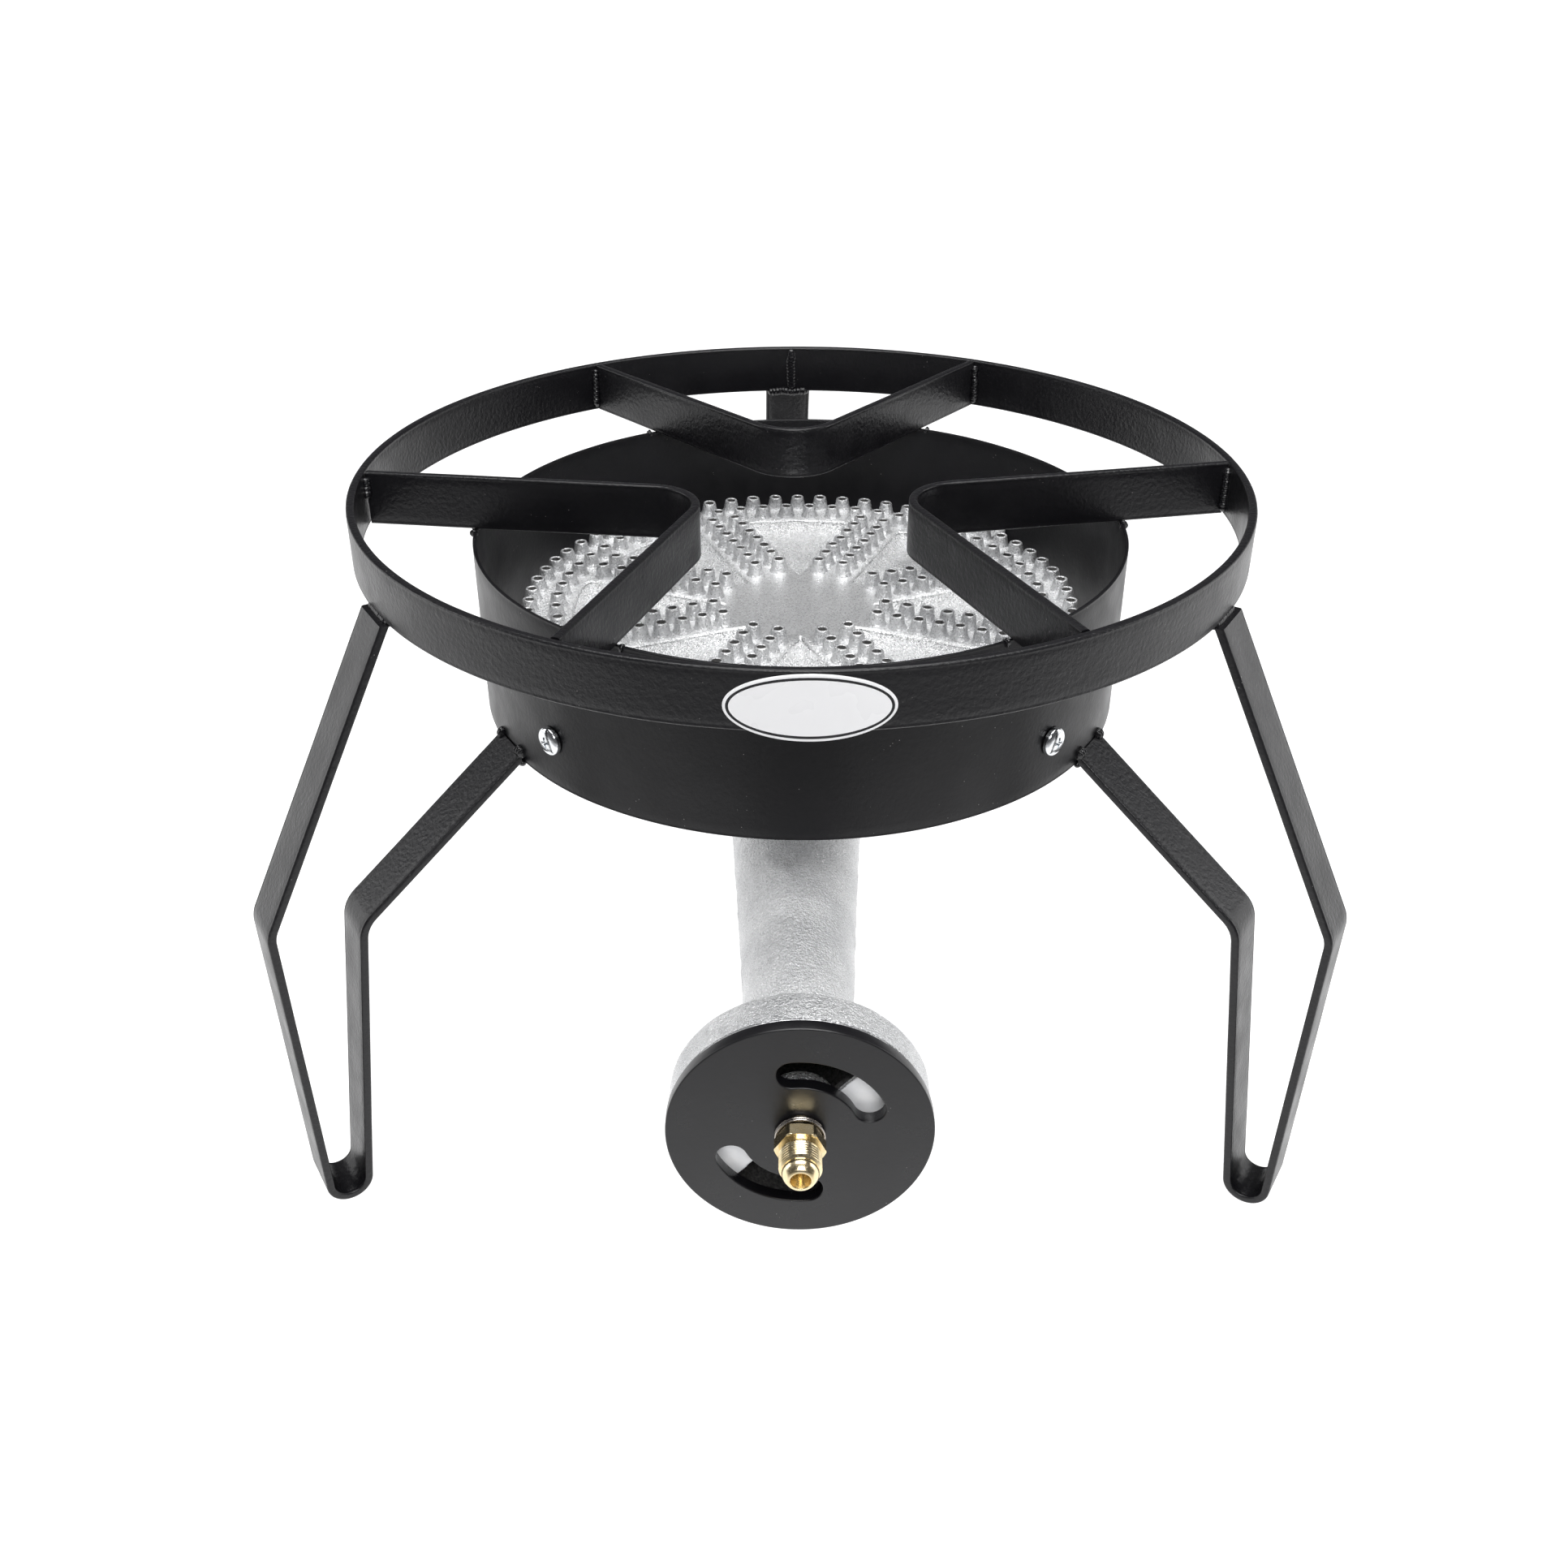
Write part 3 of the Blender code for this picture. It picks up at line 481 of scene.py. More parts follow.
def silver_casting():
    """Rough sand casting under silver paint: a fine bright grain, with a few sooty smudges in the pockets, and painted
    light that makes the head's top and its pockets paler.
    """
    material, tree, shader = new_material("silver_casting", (0.7, 0.705, 0.71), 0.36, 0.72)
    patchy = noise_texture(tree, 45, 4, 0.6)
    colour = mix_colour(tree, remap(tree, patchy, 0.3, 0.72, 0.0, 1.0), (0.52, 0.525, 0.535), (0.72, 0.725, 0.73))
    smudge = remap(tree, noise_texture(tree, 26, 4, 0.65), 0.6, 0.74, 0.0, 0.55)
    # painted light: the head's top and its pockets are mixed towards a paler colour
    painted_top_light = attribute(tree, "painted_top_light")
    painted_light_colour = mix_colour(tree, painted_top_light, colour, (0.94, 0.945, 0.95))
    tree.links.new(mix_colour(tree, smudge, painted_light_colour, (0.3, 0.3, 0.31)), shader.inputs["Base Color"])
    tree.links.new(remap(tree, noise_texture(tree, 900, 2), 0.3, 0.7, 0.22, 0.42), shader.inputs["Roughness"])
    grain = attribute(tree, "grain")
    coarse = bump(tree, math_node(tree, "MULTIPLY", noise_texture(tree, 700, 3, 0.65), grain), 0.0014)
    grains = bump(tree, math_node(tree, "MULTIPLY", cells(tree, 1500), grain), 0.0002, base=coarse)
    tree.links.new(grains, shader.inputs["Normal"])
    return material


def smooth_casting():
    """The bell's machined front face: pale, even and nearly smooth."""
    material, tree, shader = new_material("machined_casting", (0.86, 0.865, 0.875), 0.4, 0.3)
    tone = remap(tree, noise_texture(tree, 160, 3), 0.3, 0.7, 0.0, 1.0)
    tree.links.new(mix_colour(tree, tone, (0.8, 0.81, 0.83), (0.9, 0.905, 0.91)), shader.inputs["Base Color"])
    tree.links.new(remap(tree, noise_texture(tree, 700, 2), 0.3, 0.7, 0.34, 0.5), shader.inputs["Roughness"])
    tree.links.new(bump(tree, noise_texture(tree, 1300, 2), 0.00003), shader.inputs["Normal"])
    return material


def painted_shade_dark():
    """Painted shade: a dark colour for the inside of a nozzle's hole and of the bell, where shade falls."""
    material, tree, shader = new_material("painted_shade_dark", (0.05, 0.048, 0.047), 0.75, 0.0)
    tone = remap(tree, noise_texture(tree, 900, 3), 0.3, 0.7, 0.0, 1.0)
    tree.links.new(mix_colour(tree, tone, (0.02, 0.02, 0.02), (0.1, 0.097, 0.095)), shader.inputs["Base Color"])
    tree.links.new(bump(tree, noise_texture(tree, 1500, 2), 0.0001), shader.inputs["Normal"])
    return material


def brass():
    material, tree, shader = new_material("machined_brass", (0.83, 0.66, 0.36), 0.17, 1.0)
    tone = remap(tree, noise_texture(tree, 300, 3), 0.35, 0.65, 0.0, 1.0)
    tree.links.new(mix_colour(tree, tone, (0.8, 0.65, 0.38), (0.88, 0.75, 0.49)), shader.inputs["Base Color"])
    tree.links.new(bump(tree, noise_texture(tree, 500, 2), 0.00001), shader.inputs["Normal"])
    tree.links.new(remap(tree, noise_texture(tree, 1200, 2), 0.3, 0.7, 0.16, 0.28), shader.inputs["Roughness"])
    return material


def bright_metal(name, colour, low, high):
    material, tree, shader = new_material(name, colour, (low + high) / 2, 1.0)
    tree.links.new(remap(tree, noise_texture(tree, 500, 3), 0.3, 0.7, low, high), shader.inputs["Roughness"])
    darker = tuple(c * 0.86 for c in colour)
    tree.links.new(mix_colour(tree, noise_texture(tree, 250, 2), darker, colour), shader.inputs["Base Color"])
    tree.links.new(bump(tree, noise_texture(tree, 1800, 2), 0.00001), shader.inputs["Normal"])
    return material


def label(name, colour):
    material, tree, shader = new_material(name, colour, 0.28, 0.0)
    tree.links.new(remap(tree, noise_texture(tree, 80, 2), 0.3, 0.7, 0.24, 0.33), shader.inputs["Roughness"])
    tree.links.new(bump(tree, noise_texture(tree, 300, 2), 0.00002), shader.inputs["Normal"])
    return material


COAT = black_coat("black_powder_coat", 0.34, 0.00024, 0.38)
SHEET_COAT = black_coat("black_sheet_coat", 0.38, 0.00009, 0.27)
ENAMEL = black_coat("black_enamel", 0.3, 0.00003, 0.48)
WELD_COAT = black_coat("black_weld_coat", 0.24, 0.0002, 0.5, specks=False)
CASTING = silver_casting()
CASTING_SMOOTH = smooth_casting()
# painted shade: a dark colour for the nozzle bores and the inside of the bell
PAINTED_SHADE = painted_shade_dark()
BRASS = brass()
ZINC = bright_metal("zinc_plate", (0.8, 0.82, 0.84), 0.08, 0.2)
SPRING_STEEL = bright_metal("spring_steel", (0.5, 0.46, 0.42), 0.18, 0.34)
WHITE_LABEL = label("white_label", (0.86, 0.86, 0.87))
BLACK_LABEL = label("black_label", (0.01, 0.01, 0.012))


# ---------------------------------------------------------------- ring, supports, legs and guard

BAR = bar_section(BAR_THICKNESS, BAR_WIDTH, BAR_CORNER)


def flat_lift(angle, height):
    """Lifts plane points to a bar that stands on edge at a height, turned about the ring's axis."""
    matrix = Matrix.Translation((AXIS.x, AXIS.y, height)) @ Matrix.Rotation(math.radians(angle), 4, "Z")
    return lambda flat, up: matrix @ Vector((flat.x, flat.y, up))


def upright_lift(angle):
    """Lifts plane points (reach, height) to the upright plane through the ring's axis at an angle."""
    matrix = Matrix.Translation(AXIS) @ Matrix.Rotation(math.radians(angle), 4, "Z")
    return lambda flat, across: matrix @ Vector((flat.x, across, flat.y))


def ring_path(radius, step=1.25):
    """A closed circle of middle-line points with normals that point outwards."""
    normals = [Vector((math.cos(a), math.sin(a))) for a in np.radians(np.arange(0, 360, step))]
    return [(normal * radius, normal) for normal in normals]


def add_ring():
    path = ring_path(RING_RADIUS - BAR_THICKNESS / 2)
    mesh = bar_mesh("ring", path, BAR, flat_lift(0, (RING_TOP + RING_BOTTOM) / 2), closed=True, seed=3)
    add_piece("ring_bar", mesh, COAT, stands_for=["pot_ring"])


def support_end():
    """The end of a support's arm, in the support's own plane."""
    half = math.radians(SUPPORT_END_ANGLE)
    radius = RING_RADIUS - BAR_THICKNESS - 2 * GAP
    return Vector((radius * math.cos(half), radius * math.sin(half)))


def add_supports():
    end = support_end()
    corners = [(end, 0), ((SUPPORT_APEX_RADIUS, 0), SUPPORT_BEND_RADIUS), ((end.x, -end.y), 0)]
    path = fine_path(bend_path(corners, 16))
    for number, (side, angle) in enumerate(SUPPORT_ANGLES.items()):
        lift = flat_lift(angle, RING_TOP - BAR_WIDTH / 2)
        mesh = bar_mesh(f"support_{side}", path, BAR, lift, seed=11 + number)
        add_piece(f"support_{side}", mesh, COAT, stands_for=[f"pot_support_{side}"])


def tangent_corner(point, centre, radius, side):
    """Where the tangent from a point meets the circle, on the side given by +1 or -1."""
    away = Vector(point) - Vector(centre)
    spread = math.acos(radius / away.length)
    return Vector(centre) + (Matrix.Rotation(side * spread, 2) @ away.normalized()) * radius


def leg_path():
    """Down from the ring, out to a knee, in to the foot's bend, up and in to the guard."""
    foot = Vector((LEG_FOOT_RADIUS, LEG_FOOT_BEND_RADIUS + BAR_THICKNESS / 2))
    top = Vector((LEG_TOP_RADIUS, RING_BOTTOM - GAP))
    guard_end = Vector((GUARD_RADIUS + 2 * GAP, LEG_GUARD_END_HEIGHT))
    outer_touch = tangent_corner(LEG_OUTER_KNEE, foot, LEG_FOOT_BEND_RADIUS, -1)
    inner_touch = tangent_corner(LEG_INNER_KNEE, foot, LEG_FOOT_BEND_RADIUS, 1)
    down = bend_path([(top, 0), (LEG_OUTER_KNEE, LEG_KNEE_BEND_RADIUS), (outer_touch, 0)])
    up = bend_path([(inner_touch, 0), (LEG_INNER_KNEE, LEG_KNEE_BEND_RADIUS), (guard_end, 0)])
    start = math.degrees(math.atan2(*(outer_touch - foot).yx))
    end = math.degrees(math.atan2(*(inner_touch - foot).yx))
    bend = []
    for x, y in arc(foot, LEG_FOOT_BEND_RADIUS, start, start - (start - end) % 360, 26)[1:-1]:
        bend.append((Vector((x, y)), (Vector((x, y)) - foot).normalized()))
    return fine_path(down + bend + up)


def add_legs():
    """The strip's ends are cut level under the ring and upright against the guard."""
    path = leg_path()
    top, wall = RING_BOTTOM - GAP, GUARD_RADIUS + GAP
    top_slope = (LEG_OUTER_KNEE[0] - LEG_TOP_RADIUS) / (LEG_OUTER_KNEE[1] - top)
    wall_slope = (LEG_INNER_KNEE[1] - LEG_GUARD_END_HEIGHT) / (LEG_INNER_KNEE[0] - wall)
    trims = {0: lambda p: Vector((p.x + (top - p.y) * top_slope, top)),
             len(path) - 1: lambda p: Vector((wall, p.y + (wall - p.x) * wall_slope))}
    for number, (side, angle) in enumerate(LEG_ANGLES.items()):
        mesh = bar_mesh(f"leg_{side}", path, BAR, upright_lift(angle), seed=21 + number, trims=trims)
        add_piece(f"leg_strip_{side}", mesh, COAT, stands_for=[f"leg_{side}"])


def add_guard():
    height = GUARD_HIGH.z - GUARD_LOW.z
    section = bar_section(GUARD_WALL, height, 0.0007, columns=16)
    path = ring_path(GUARD_RADIUS - GUARD_WALL / 2)
    middle = (GUARD_HIGH.z + GUARD_LOW.z) / 2
    mesh = bar_mesh("guard", path, section, flat_lift(0, middle), closed=True, seed=31, dents=0.0003)
    add_piece("guard_sheet", mesh, SHEET_COAT, stands_for=["wind_guard"])


def weld_shell(start, end, outwards, width, height, seed):
    """A lumpy closed bead from start to end. outwards is the side that it bulges to."""
    start, end, outwards = Vector(start), Vector(end), Vector(outwards).normalized()
    along = (end - start).normalized()
    side = along.cross(outwards).normalized()
    outwards = side.cross(along)
    length = (end - start).length
    rows = max(16, round(length / 0.00045))
    rng = random.Random(seed)
    ripple, phase = 0.0019 * rng.uniform(0.85, 1.2), rng.uniform(0, 6)
    points = []
    for i in range(rows + 1):
        u = i / rows
        cap = math.sqrt(max(0.0, 1 - (2 * u - 1) ** 8)) + 0.02
        lump = 1 + 0.10 * math.sin(2 * math.pi * u * length / ripple + phase)
        lump += 0.22 * noise.noise(Vector((u * length / 0.004, seed, 0)))
        sway = side * noise.noise(Vector((u * length / 0.006, seed, 9))) * width * 0.18
        for j in range(18):
            turn = 2 * math.pi * j / 18
            across = side * math.cos(turn) * width / 2 * cap * lump
            out = outwards * math.sin(turn) * height * cap * lump
            points.append(start + along * (u * length) + sway + across + out)
    faces = [tuple(f) for f in grid_faces(rows + 1, 18)]
    faces += [tuple(range(18)), tuple(range(rows * 18, rows * 18 + 18))]
    return points, faces


def polar(radius, angle, height):
    a = math.radians(angle)
    return Vector((AXIS.x + radius * math.cos(a), AXIS.y + radius * math.sin(a), height))


def outwards_at(angle):
    return Vector((math.cos(math.radians(angle)), math.sin(math.radians(angle)), 0))


def support_welds():
    """Upright beads in the corner on one side of each arm's end, where it meets the ring."""
    shells = []
    inner = RING_RADIUS - BAR_THICKNESS
    half_step = math.degrees(BAR_THICKNESS / 2 / inner)
    seed = 100
    for support, angle in SUPPORT_ANGLES.items():
        for arm in (-1, 1):
            for side in (-1, 1):
                seed += 1
                where = angle + arm * SUPPORT_END_ANGLE + side * half_step * 1.25
                long = not (support == "left" and arm == -1)
                low = RING_BOTTOM + (0.0015 if long else 0.013)
                out = -outwards_at(where)
                shells.append(weld_shell(polar(inner - 0.0004, where, RING_TOP - 0.0022),
                                         polar(inner - 0.0004, where + side * 0.2, low),
                                         out, 0.0042, 0.0023, seed))
    return shells


def seam_welds():
    """The ring's closing weld at the back: an upright bead inside, and a low one outside."""
    inner = RING_RADIUS - BAR_THICKNESS
    shells = [weld_shell(polar(inner, SEAM_ANGLE, RING_TOP - 0.0010), polar(inner, SEAM_ANGLE, RING_BOTTOM + 0.001),
                         -outwards_at(SEAM_ANGLE), 0.0052, 0.0012, 131),
              weld_shell(polar(RING_RADIUS - 0.0011, SEAM_ANGLE, RING_TOP - 0.0014),
                         polar(RING_RADIUS - 0.0011, SEAM_ANGLE, RING_BOTTOM + 0.001),
                         outwards_at(SEAM_ANGLE), 0.0052, 0.0011, 132)]
    return shells


def leg_top_welds():
    """A level bead on each face of a leg where it meets the ring's lower edge."""
    shells = []
    half = math.degrees(BAR_WIDTH / 2 / RING_RADIUS)
    for number, angle in enumerate(LEG_ANGLES.values()):
        for face, radius, out in ((0, RING_RADIUS - BAR_THICKNESS + 0.0006, -1), (1, RING_RADIUS - 0.0012, 1)):
            direction = outwards_at(angle) * out + Vector((0, 0, -0.6))
            shells.append(weld_shell(polar(radius, angle - half * 0.95, RING_BOTTOM - 0.0002),
                                     polar(radius, angle + half * 0.95, RING_BOTTOM - 0.0002),
                                     direction, 0.0046, 0.0019, 141 + 2 * number + face))
    return shells


def leg_guard_welds():
    """Two lumps at each leg's inner end, one at each corner of the strip, with a thin bead between."""
    shells = []
    half = math.degrees(BAR_WIDTH / 2 / GUARD_RADIUS)
    for number, angle in enumerate(LEG_ANGLES.values()):
        for side in (-1, 1):
            outer, near = angle + side * half * 1.02, angle + side * half * 0.62
            shells.append(weld_shell(polar(GUARD_RADIUS, outer, LEG_GUARD_END_HEIGHT + 0.0023),
                                     polar(GUARD_RADIUS, near, LEG_GUARD_END_HEIGHT + 0.0028),
                                     outwards_at(angle) + Vector((0, 0, 0.7)), 0.0052, 0.0028, 151 + 2 * number + side))
        shells.append(weld_shell(polar(GUARD_RADIUS, angle - half, LEG_GUARD_END_HEIGHT - 0.0030),
                                 polar(GUARD_RADIUS, angle + half, LEG_GUARD_END_HEIGHT - 0.0030),
                                 outwards_at(angle) + Vector((0, 0, -0.6)), 0.0038, 0.0017, 161 + number))
    return shells


def arm_crossing(sign):
    """The angle from a support's middle at which its arm passes over the guard's rim."""
    end = support_end()
    direction = (end - Vector((SUPPORT_APEX_RADIUS, 0))).normalized()
    start = Vector((SUPPORT_APEX_RADIUS, 0))
    middle = GUARD_RADIUS - GUARD_WALL / 2
    along = start.dot(direction)
    reach = -along + math.sqrt(along * along - start.length_squared + middle * middle)
    point = start + direction * reach
    return sign * math.degrees(math.atan2(point.y, point.x))


def crossing_welds():
    """Small blobs in the corners where the supports' arms cross the guard's rim."""
    shells = []
    rim = GUARD_HIGH.z
    half_step = math.degrees(BAR_THICKNESS / 2 / GUARD_RADIUS)
    seed = 170
    for angle in SUPPORT_ANGLES.values():
        for arm in (-1, 1):
            for side in (-1, 1):
                seed += 1
                where = angle + arm_crossing(arm) + side * half_step * 2.3
                near = angle + arm_crossing(arm) + side * half_step * 1.3
                out = Vector((0, 0, 1)) + outwards_at(where) * 0.8
                shells.append(weld_shell(polar(GUARD_RADIUS - 0.0004, where, rim - 0.0012),
                                         polar(GUARD_RADIUS - 0.0004, near, rim - 0.0006),
                                         out, 0.0036, 0.0019, seed))
    return shells


def add_welds():
    add_piece("ring_welds", new_mesh("ring_welds", support_welds() + seam_welds() + leg_top_welds()), WELD_COAT,
              sharp=0)
    add_piece("guard_welds", new_mesh("guard_welds", leg_guard_welds() + crossing_welds()), WELD_COAT,
              sharp=0)


# ---------------------------------------------------------------- the burner

def softened(points, repeats=3):
    """Cuts the corners of an open polyline, which keeps its ends."""
    for _ in range(repeats):
        out = [points[0]]
        for (x0, y0), (x1, y1) in zip(points, points[1:]):
            out += [(0.75 * x0 + 0.25 * x1, 0.75 * y0 + 0.25 * y1), (0.25 * x0 + 0.75 * x1, 0.25 * y0 + 0.75 * y1)]
        points = out + [points[-1]]
    return points


def head_profile():
    """The head, neck and elbow, turned: the underside sweeps down to the neck."""
    side_bottom = HEAD_TOP - HEAD_SIDE_HEIGHT
    under = softened([(HEAD_RADIUS, side_bottom), (HEAD_RADIUS - 0.006, side_bottom - 0.006),
                      (NECK_RADIUS + 0.022, 0.2075), (NECK_RADIUS + 0.007, 0.201), (NECK_RADIUS, 0.192),
                      (NECK_RADIUS, TUBE_Z)], 3)
    elbow = [(NECK_RADIUS * math.cos(a), TUBE_Z - NECK_RADIUS * math.sin(a)) for a in np.radians(range(9, 90, 9))]
    return [(0, HEAD_TOP), (HEAD_RADIUS - 0.0025, HEAD_TOP), (HEAD_RADIUS - 0.0008, HEAD_TOP - 0.0008),
            (HEAD_RADIUS, HEAD_TOP - 0.0025)] + under + elbow + [(0, TUBE_Z - NECK_RADIUS)]


def tube_profile(inset, start, end):
    """The mixing tube and bell about the tube's axis, from the front end back."""
    flare = softened([(BELL_RADIUS - inset, BELL_REACH + 0.004), (BELL_RADIUS - inset, BELL_REACH),
                      (BELL_RADIUS - inset - 0.012, BELL_REACH - 0.010),
                      (THROAT_RADIUS - inset + 0.003, BELL_REACH - 0.022),
                      (THROAT_RADIUS - inset, THROAT_REACH), (TUBE_START_RADIUS - inset, start)], 3)
    return [(0, end), (BELL_RADIUS - inset, end)] + flare + [(0, start)]


def radial_frame(angle, height):
    """A frame on the ring's axis whose Z points outwards at the angle, and whose Y points up."""
    outwards = Matrix.Rotation(math.radians(angle), 4, "Z") @ Matrix.Rotation(math.pi / 2, 4, "Y")
    return Matrix.Translation((AXIS.x, AXIS.y, height)) @ outwards @ Matrix.Rotation(math.pi / 2, 4, "Z")


def turned_mesh(name, profile, frame, steps, closed=False):
    points, faces = turned(profile, steps, closed=closed)
    return new_mesh(name, [(moved(points, frame), faces)])


def box_mesh(name, low, high, frame):
    work = bmesh.new()
    size = [b - a for a, b in zip(low, high)]
    centre = [(a + b) / 2 for a, b in zip(low, high)]
    bmesh.ops.create_cube(work, size=1, matrix=frame @ Matrix.Translation(centre) @ Matrix.Diagonal((*size, 1)))
    mesh = bpy.data.meshes.new(name)
    work.to_mesh(mesh)
    work.free()
    return mesh


def outline_mesh(name, outlines, bottom, top, frame):
    """Flat outlines made into plates between two heights, as one closed mesh."""
    shells = []
    for outline in outlines:
        count = len(outline)
        points = [(x, y, z) for z in (bottom, top) for x, y in outline]
        faces = [tuple(f) for f in grid_faces(2, count)] + [tuple(range(count)), tuple(range(count, 2 * count))]
        shells.append((moved(points, frame), faces))
    return new_mesh(name, shells)


def slot_outline(radius, width, start, span):
    """The outline of an arc-shaped slot with round ends, in degrees."""
    end = start + span
    tips = [(radius * math.cos(math.radians(a)), radius * math.sin(math.radians(a))) for a in (start, end)]
    return (arc((0, 0), radius + width / 2, start, end, 40) + arc(tips[1], width / 2, end, end + 180, 16)[1:-1]
            + arc((0, 0), radius - width / 2, end, start, 30)
            + arc(tips[0], width / 2, start + 180, start + 360, 16)[1:-1])


def sector_outline(inner, outer, start, span):
    return arc((0, 0), outer, start, start + span, 24) + arc((0, 0), inner, start + span, start, 16)


def pocket_distance(x, y):
    """How far each point lies inside the nearest pocket's outline, in metres (below 0 outside)."""
    radius, angle = np.hypot(x, y), np.arctan2(y, x)
    step = 2 * math.pi / SPOKE_COUNT
    local = (angle + step / 2) % step - step / 2
    px, py = radius * np.cos(local), radius * np.sin(local)
    side = px * math.sin(step / 2) - np.abs(py) * math.cos(step / 2) - SPOKE_HALF_WIDTH
    outer = POCKET_OUTER_RADIUS - radius
    blend = 0.005
    low = np.minimum(side, outer)
    both = np.clip(blend - side, 0, None) ** 2 + np.clip(blend - outer, 0, None) ** 2
    return np.where(low > blend, low, blend - np.sqrt(both))


def nozzle_places():
    """The centre and height of every gas nozzle: two rings, and two rows along each spoke."""
    places = []
    for radius, count, first in NOZZLE_RINGS:
        for i in range(count):
            angle = 2 * math.pi * (i + first) / count
            places.append((radius * math.cos(angle), radius * math.sin(angle), RING_NOZZLE_HEIGHT))
    for spoke in range(SPOKE_COUNT):
        turn = Matrix.Rotation(2 * math.pi * (spoke + 0.5) / SPOKE_COUNT, 2)
        for i in range(SPOKE_ROW_COUNT):
            for side in (-1, 1):
                x, y = turn @ Vector((SPOKE_ROW_START + SPOKE_ROW_PITCH * i, side * SPOKE_ROW_OFFSET))
                places.append((x, y, SPOKE_NOZZLE_HEIGHT))
    return places


def head_mesh():
    """The head as one turned body whose top is a fine grid with eight sunk pockets."""
    steps = 900
    rim = HEAD_RADIUS - 0.0025
    top = [(0, HEAD_TOP)] + [(r, HEAD_TOP) for r in np.arange(0.0009, rim, 0.0009)]
    profile = top + [p for p in head_profile() if p[1] < HEAD_TOP or p[0] > rim - 0.0001]

    def sink(radii, heights, angles):
        depth = pocket_distance(radii * np.cos(angles), radii * np.sin(angles))
        share = np.clip(depth / 0.0075, 0, 1)
        fall = POCKET_DEPTH * (1 - (1 - share) ** 2)
        ridge = 0.00035 * np.exp(-((depth + 0.0007) / 0.0007) ** 2)
        level = (heights > HEAD_TOP - 0.00001) & (radii < rim)
        return radii, np.where(level, heights - fall + ridge, heights)

    points, faces = turned(profile, steps, shape=sink)
    return new_mesh("head", [(moved(points, RING_CENTRE), faces)])


def add_burner():
    """One casting. Its bodies are joined and remeshed, so that every inner corner is filleted as cast."""
    mesh = head_mesh()
    tube = turned_mesh("tube", tube_profile(0, 0.0, WEB_FRONT), TUBE_FRAME, 120)
    parts = [tube]
    face = GUARD_RADIUS - GUARD_WALL - 2 * GAP
    for angle in range(45, 360, 90):
        frame = radial_frame(angle, 0.2352)
        parts.append(box_mesh("ear", (-0.009, -0.0082, face - 0.005), (0.009, 0.0138, face), frame))
        parts.append(box_mesh("web", (-0.0085, 0.0088, HEAD_RADIUS - 0.004), (0.0085, 0.0133, face - 0.001), frame))
    mesh = boolean(mesh, parts, "UNION")
    bell_end = WEB_FRONT - WEB_THICKNESS
    cavity = turned_mesh("cavity", tube_profile(CASTING_WALL, 0.0002, bell_end), TUBE_FRAME, 96)
    mesh = boolean(mesh, [cavity], "DIFFERENCE")
    boss = turned_mesh("boss", [(0, WEB_FRONT - 0.001), (BOSS_RADIUS, WEB_FRONT - 0.001), (BOSS_RADIUS, BOSS_BACK),
                                (0, BOSS_BACK)], TUBE_FRAME, 64)
    mesh = boolean(mesh, [boss], "UNION")
    openings = [sector_outline(0.017, 0.041, WEB_OPENING_START + turn, WEB_OPENING_SPAN) for turn in (0, 180)]
    holes = [outline_mesh("web_holes", openings, bell_end - 0.002, WEB_FRONT + 0.002, TUBE_FRAME),
             turned_mesh("boss_bore", [(0, WEB_FRONT + 0.002), (0.0072, WEB_FRONT + 0.002),
                                       (0.0072, BOSS_BACK - 0.002), (0, BOSS_BACK - 0.002)], TUBE_FRAME, 48)]
    for angle in range(45, 360, 90):
        frame = radial_frame(angle, 0.2352)
        holes.append(turned_mesh("ear_hole", [(0, face + 0.002), (0.0033, face + 0.002), (0.0033, face - 0.007),
                                              (0, face - 0.007)], frame, 24))
    mesh = boolean(mesh, holes, "DIFFERENCE")
    mesh = remeshed(mesh, 0.0008)
    smoothed(mesh, 2)
    mould_line(mesh)
    roughened(mesh, [(0.011, 0.00018), (0.0035, 0.00006), (0.0016, 0.00005)], rough_share)
    for face in mesh.polygons:
        face.material_index = casting_surface(face)
    set_grain(mesh)
    # the third material paints shade on the faces inside the bell
    add_piece("burner_casting_body", mesh, [CASTING, CASTING_SMOOTH, PAINTED_SHADE], stands_for=["burner_casting"],
              sharp=0)


def casting_surface(face):
    """Which of the casting's materials a face takes: 0 as cast, 1 machined, 2 painted shade, dark, inside the bell."""
    reach = AXIS.y - face.center.y
    if face.normal.y < -0.8 and reach > WEB_FRONT - 0.0006:
        return 1
    outwards = Vector((face.center.x - TUBE_X, 0, face.center.z - TUBE_Z))
    inwards = face.normal.dot(outwards.normalized()) < 0.2
    within = 0.05 < reach < WEB_FRONT - 0.001 and outwards.length < BELL_RADIUS - 0.003
    return 2 if inwards and within else 0


def rough_share(point):
    """How rough the casting is at a point: little on its machined face and on the middle of the head."""
    if AXIS.y - point.y > WEB_FRONT - 0.0008:
        return 0.0
    radius = math.hypot(point.x - AXIS.x, point.y - AXIS.y)
    if point.z < HEAD_TOP - 0.0008:
        in_pocket = radius < POCKET_OUTER_RADIUS and point.z > HEAD_TOP - POCKET_DEPTH - 0.001
        return 1.9 if in_pocket else 1.0
    return 0.15 + 0.6 * float(np.clip((radius - 0.034) / 0.016, 0, 1))


def set_grain(mesh):
    """Gives the casting's material its grain at each point, and how much painted light makes it paler there."""
    shares = [rough_share(vertex.co) for vertex in mesh.vertices]
    on_top = [vertex.co.z > HEAD_TOP - POCKET_DEPTH - 0.001 for vertex in mesh.vertices]
    # painted light: 0.9 in the pockets, 0.45 on the rest of the head's top, none elsewhere
    painted_light_shares = [0.9 if share > 1.5 else 0.45 if top else 0.0 for share, top in zip(shares, on_top)]
    for name, values in (("grain", shares), ("painted_top_light", painted_light_shares)):
        mesh.attributes.new(name, "FLOAT", "POINT").data.foreach_set("value", values)


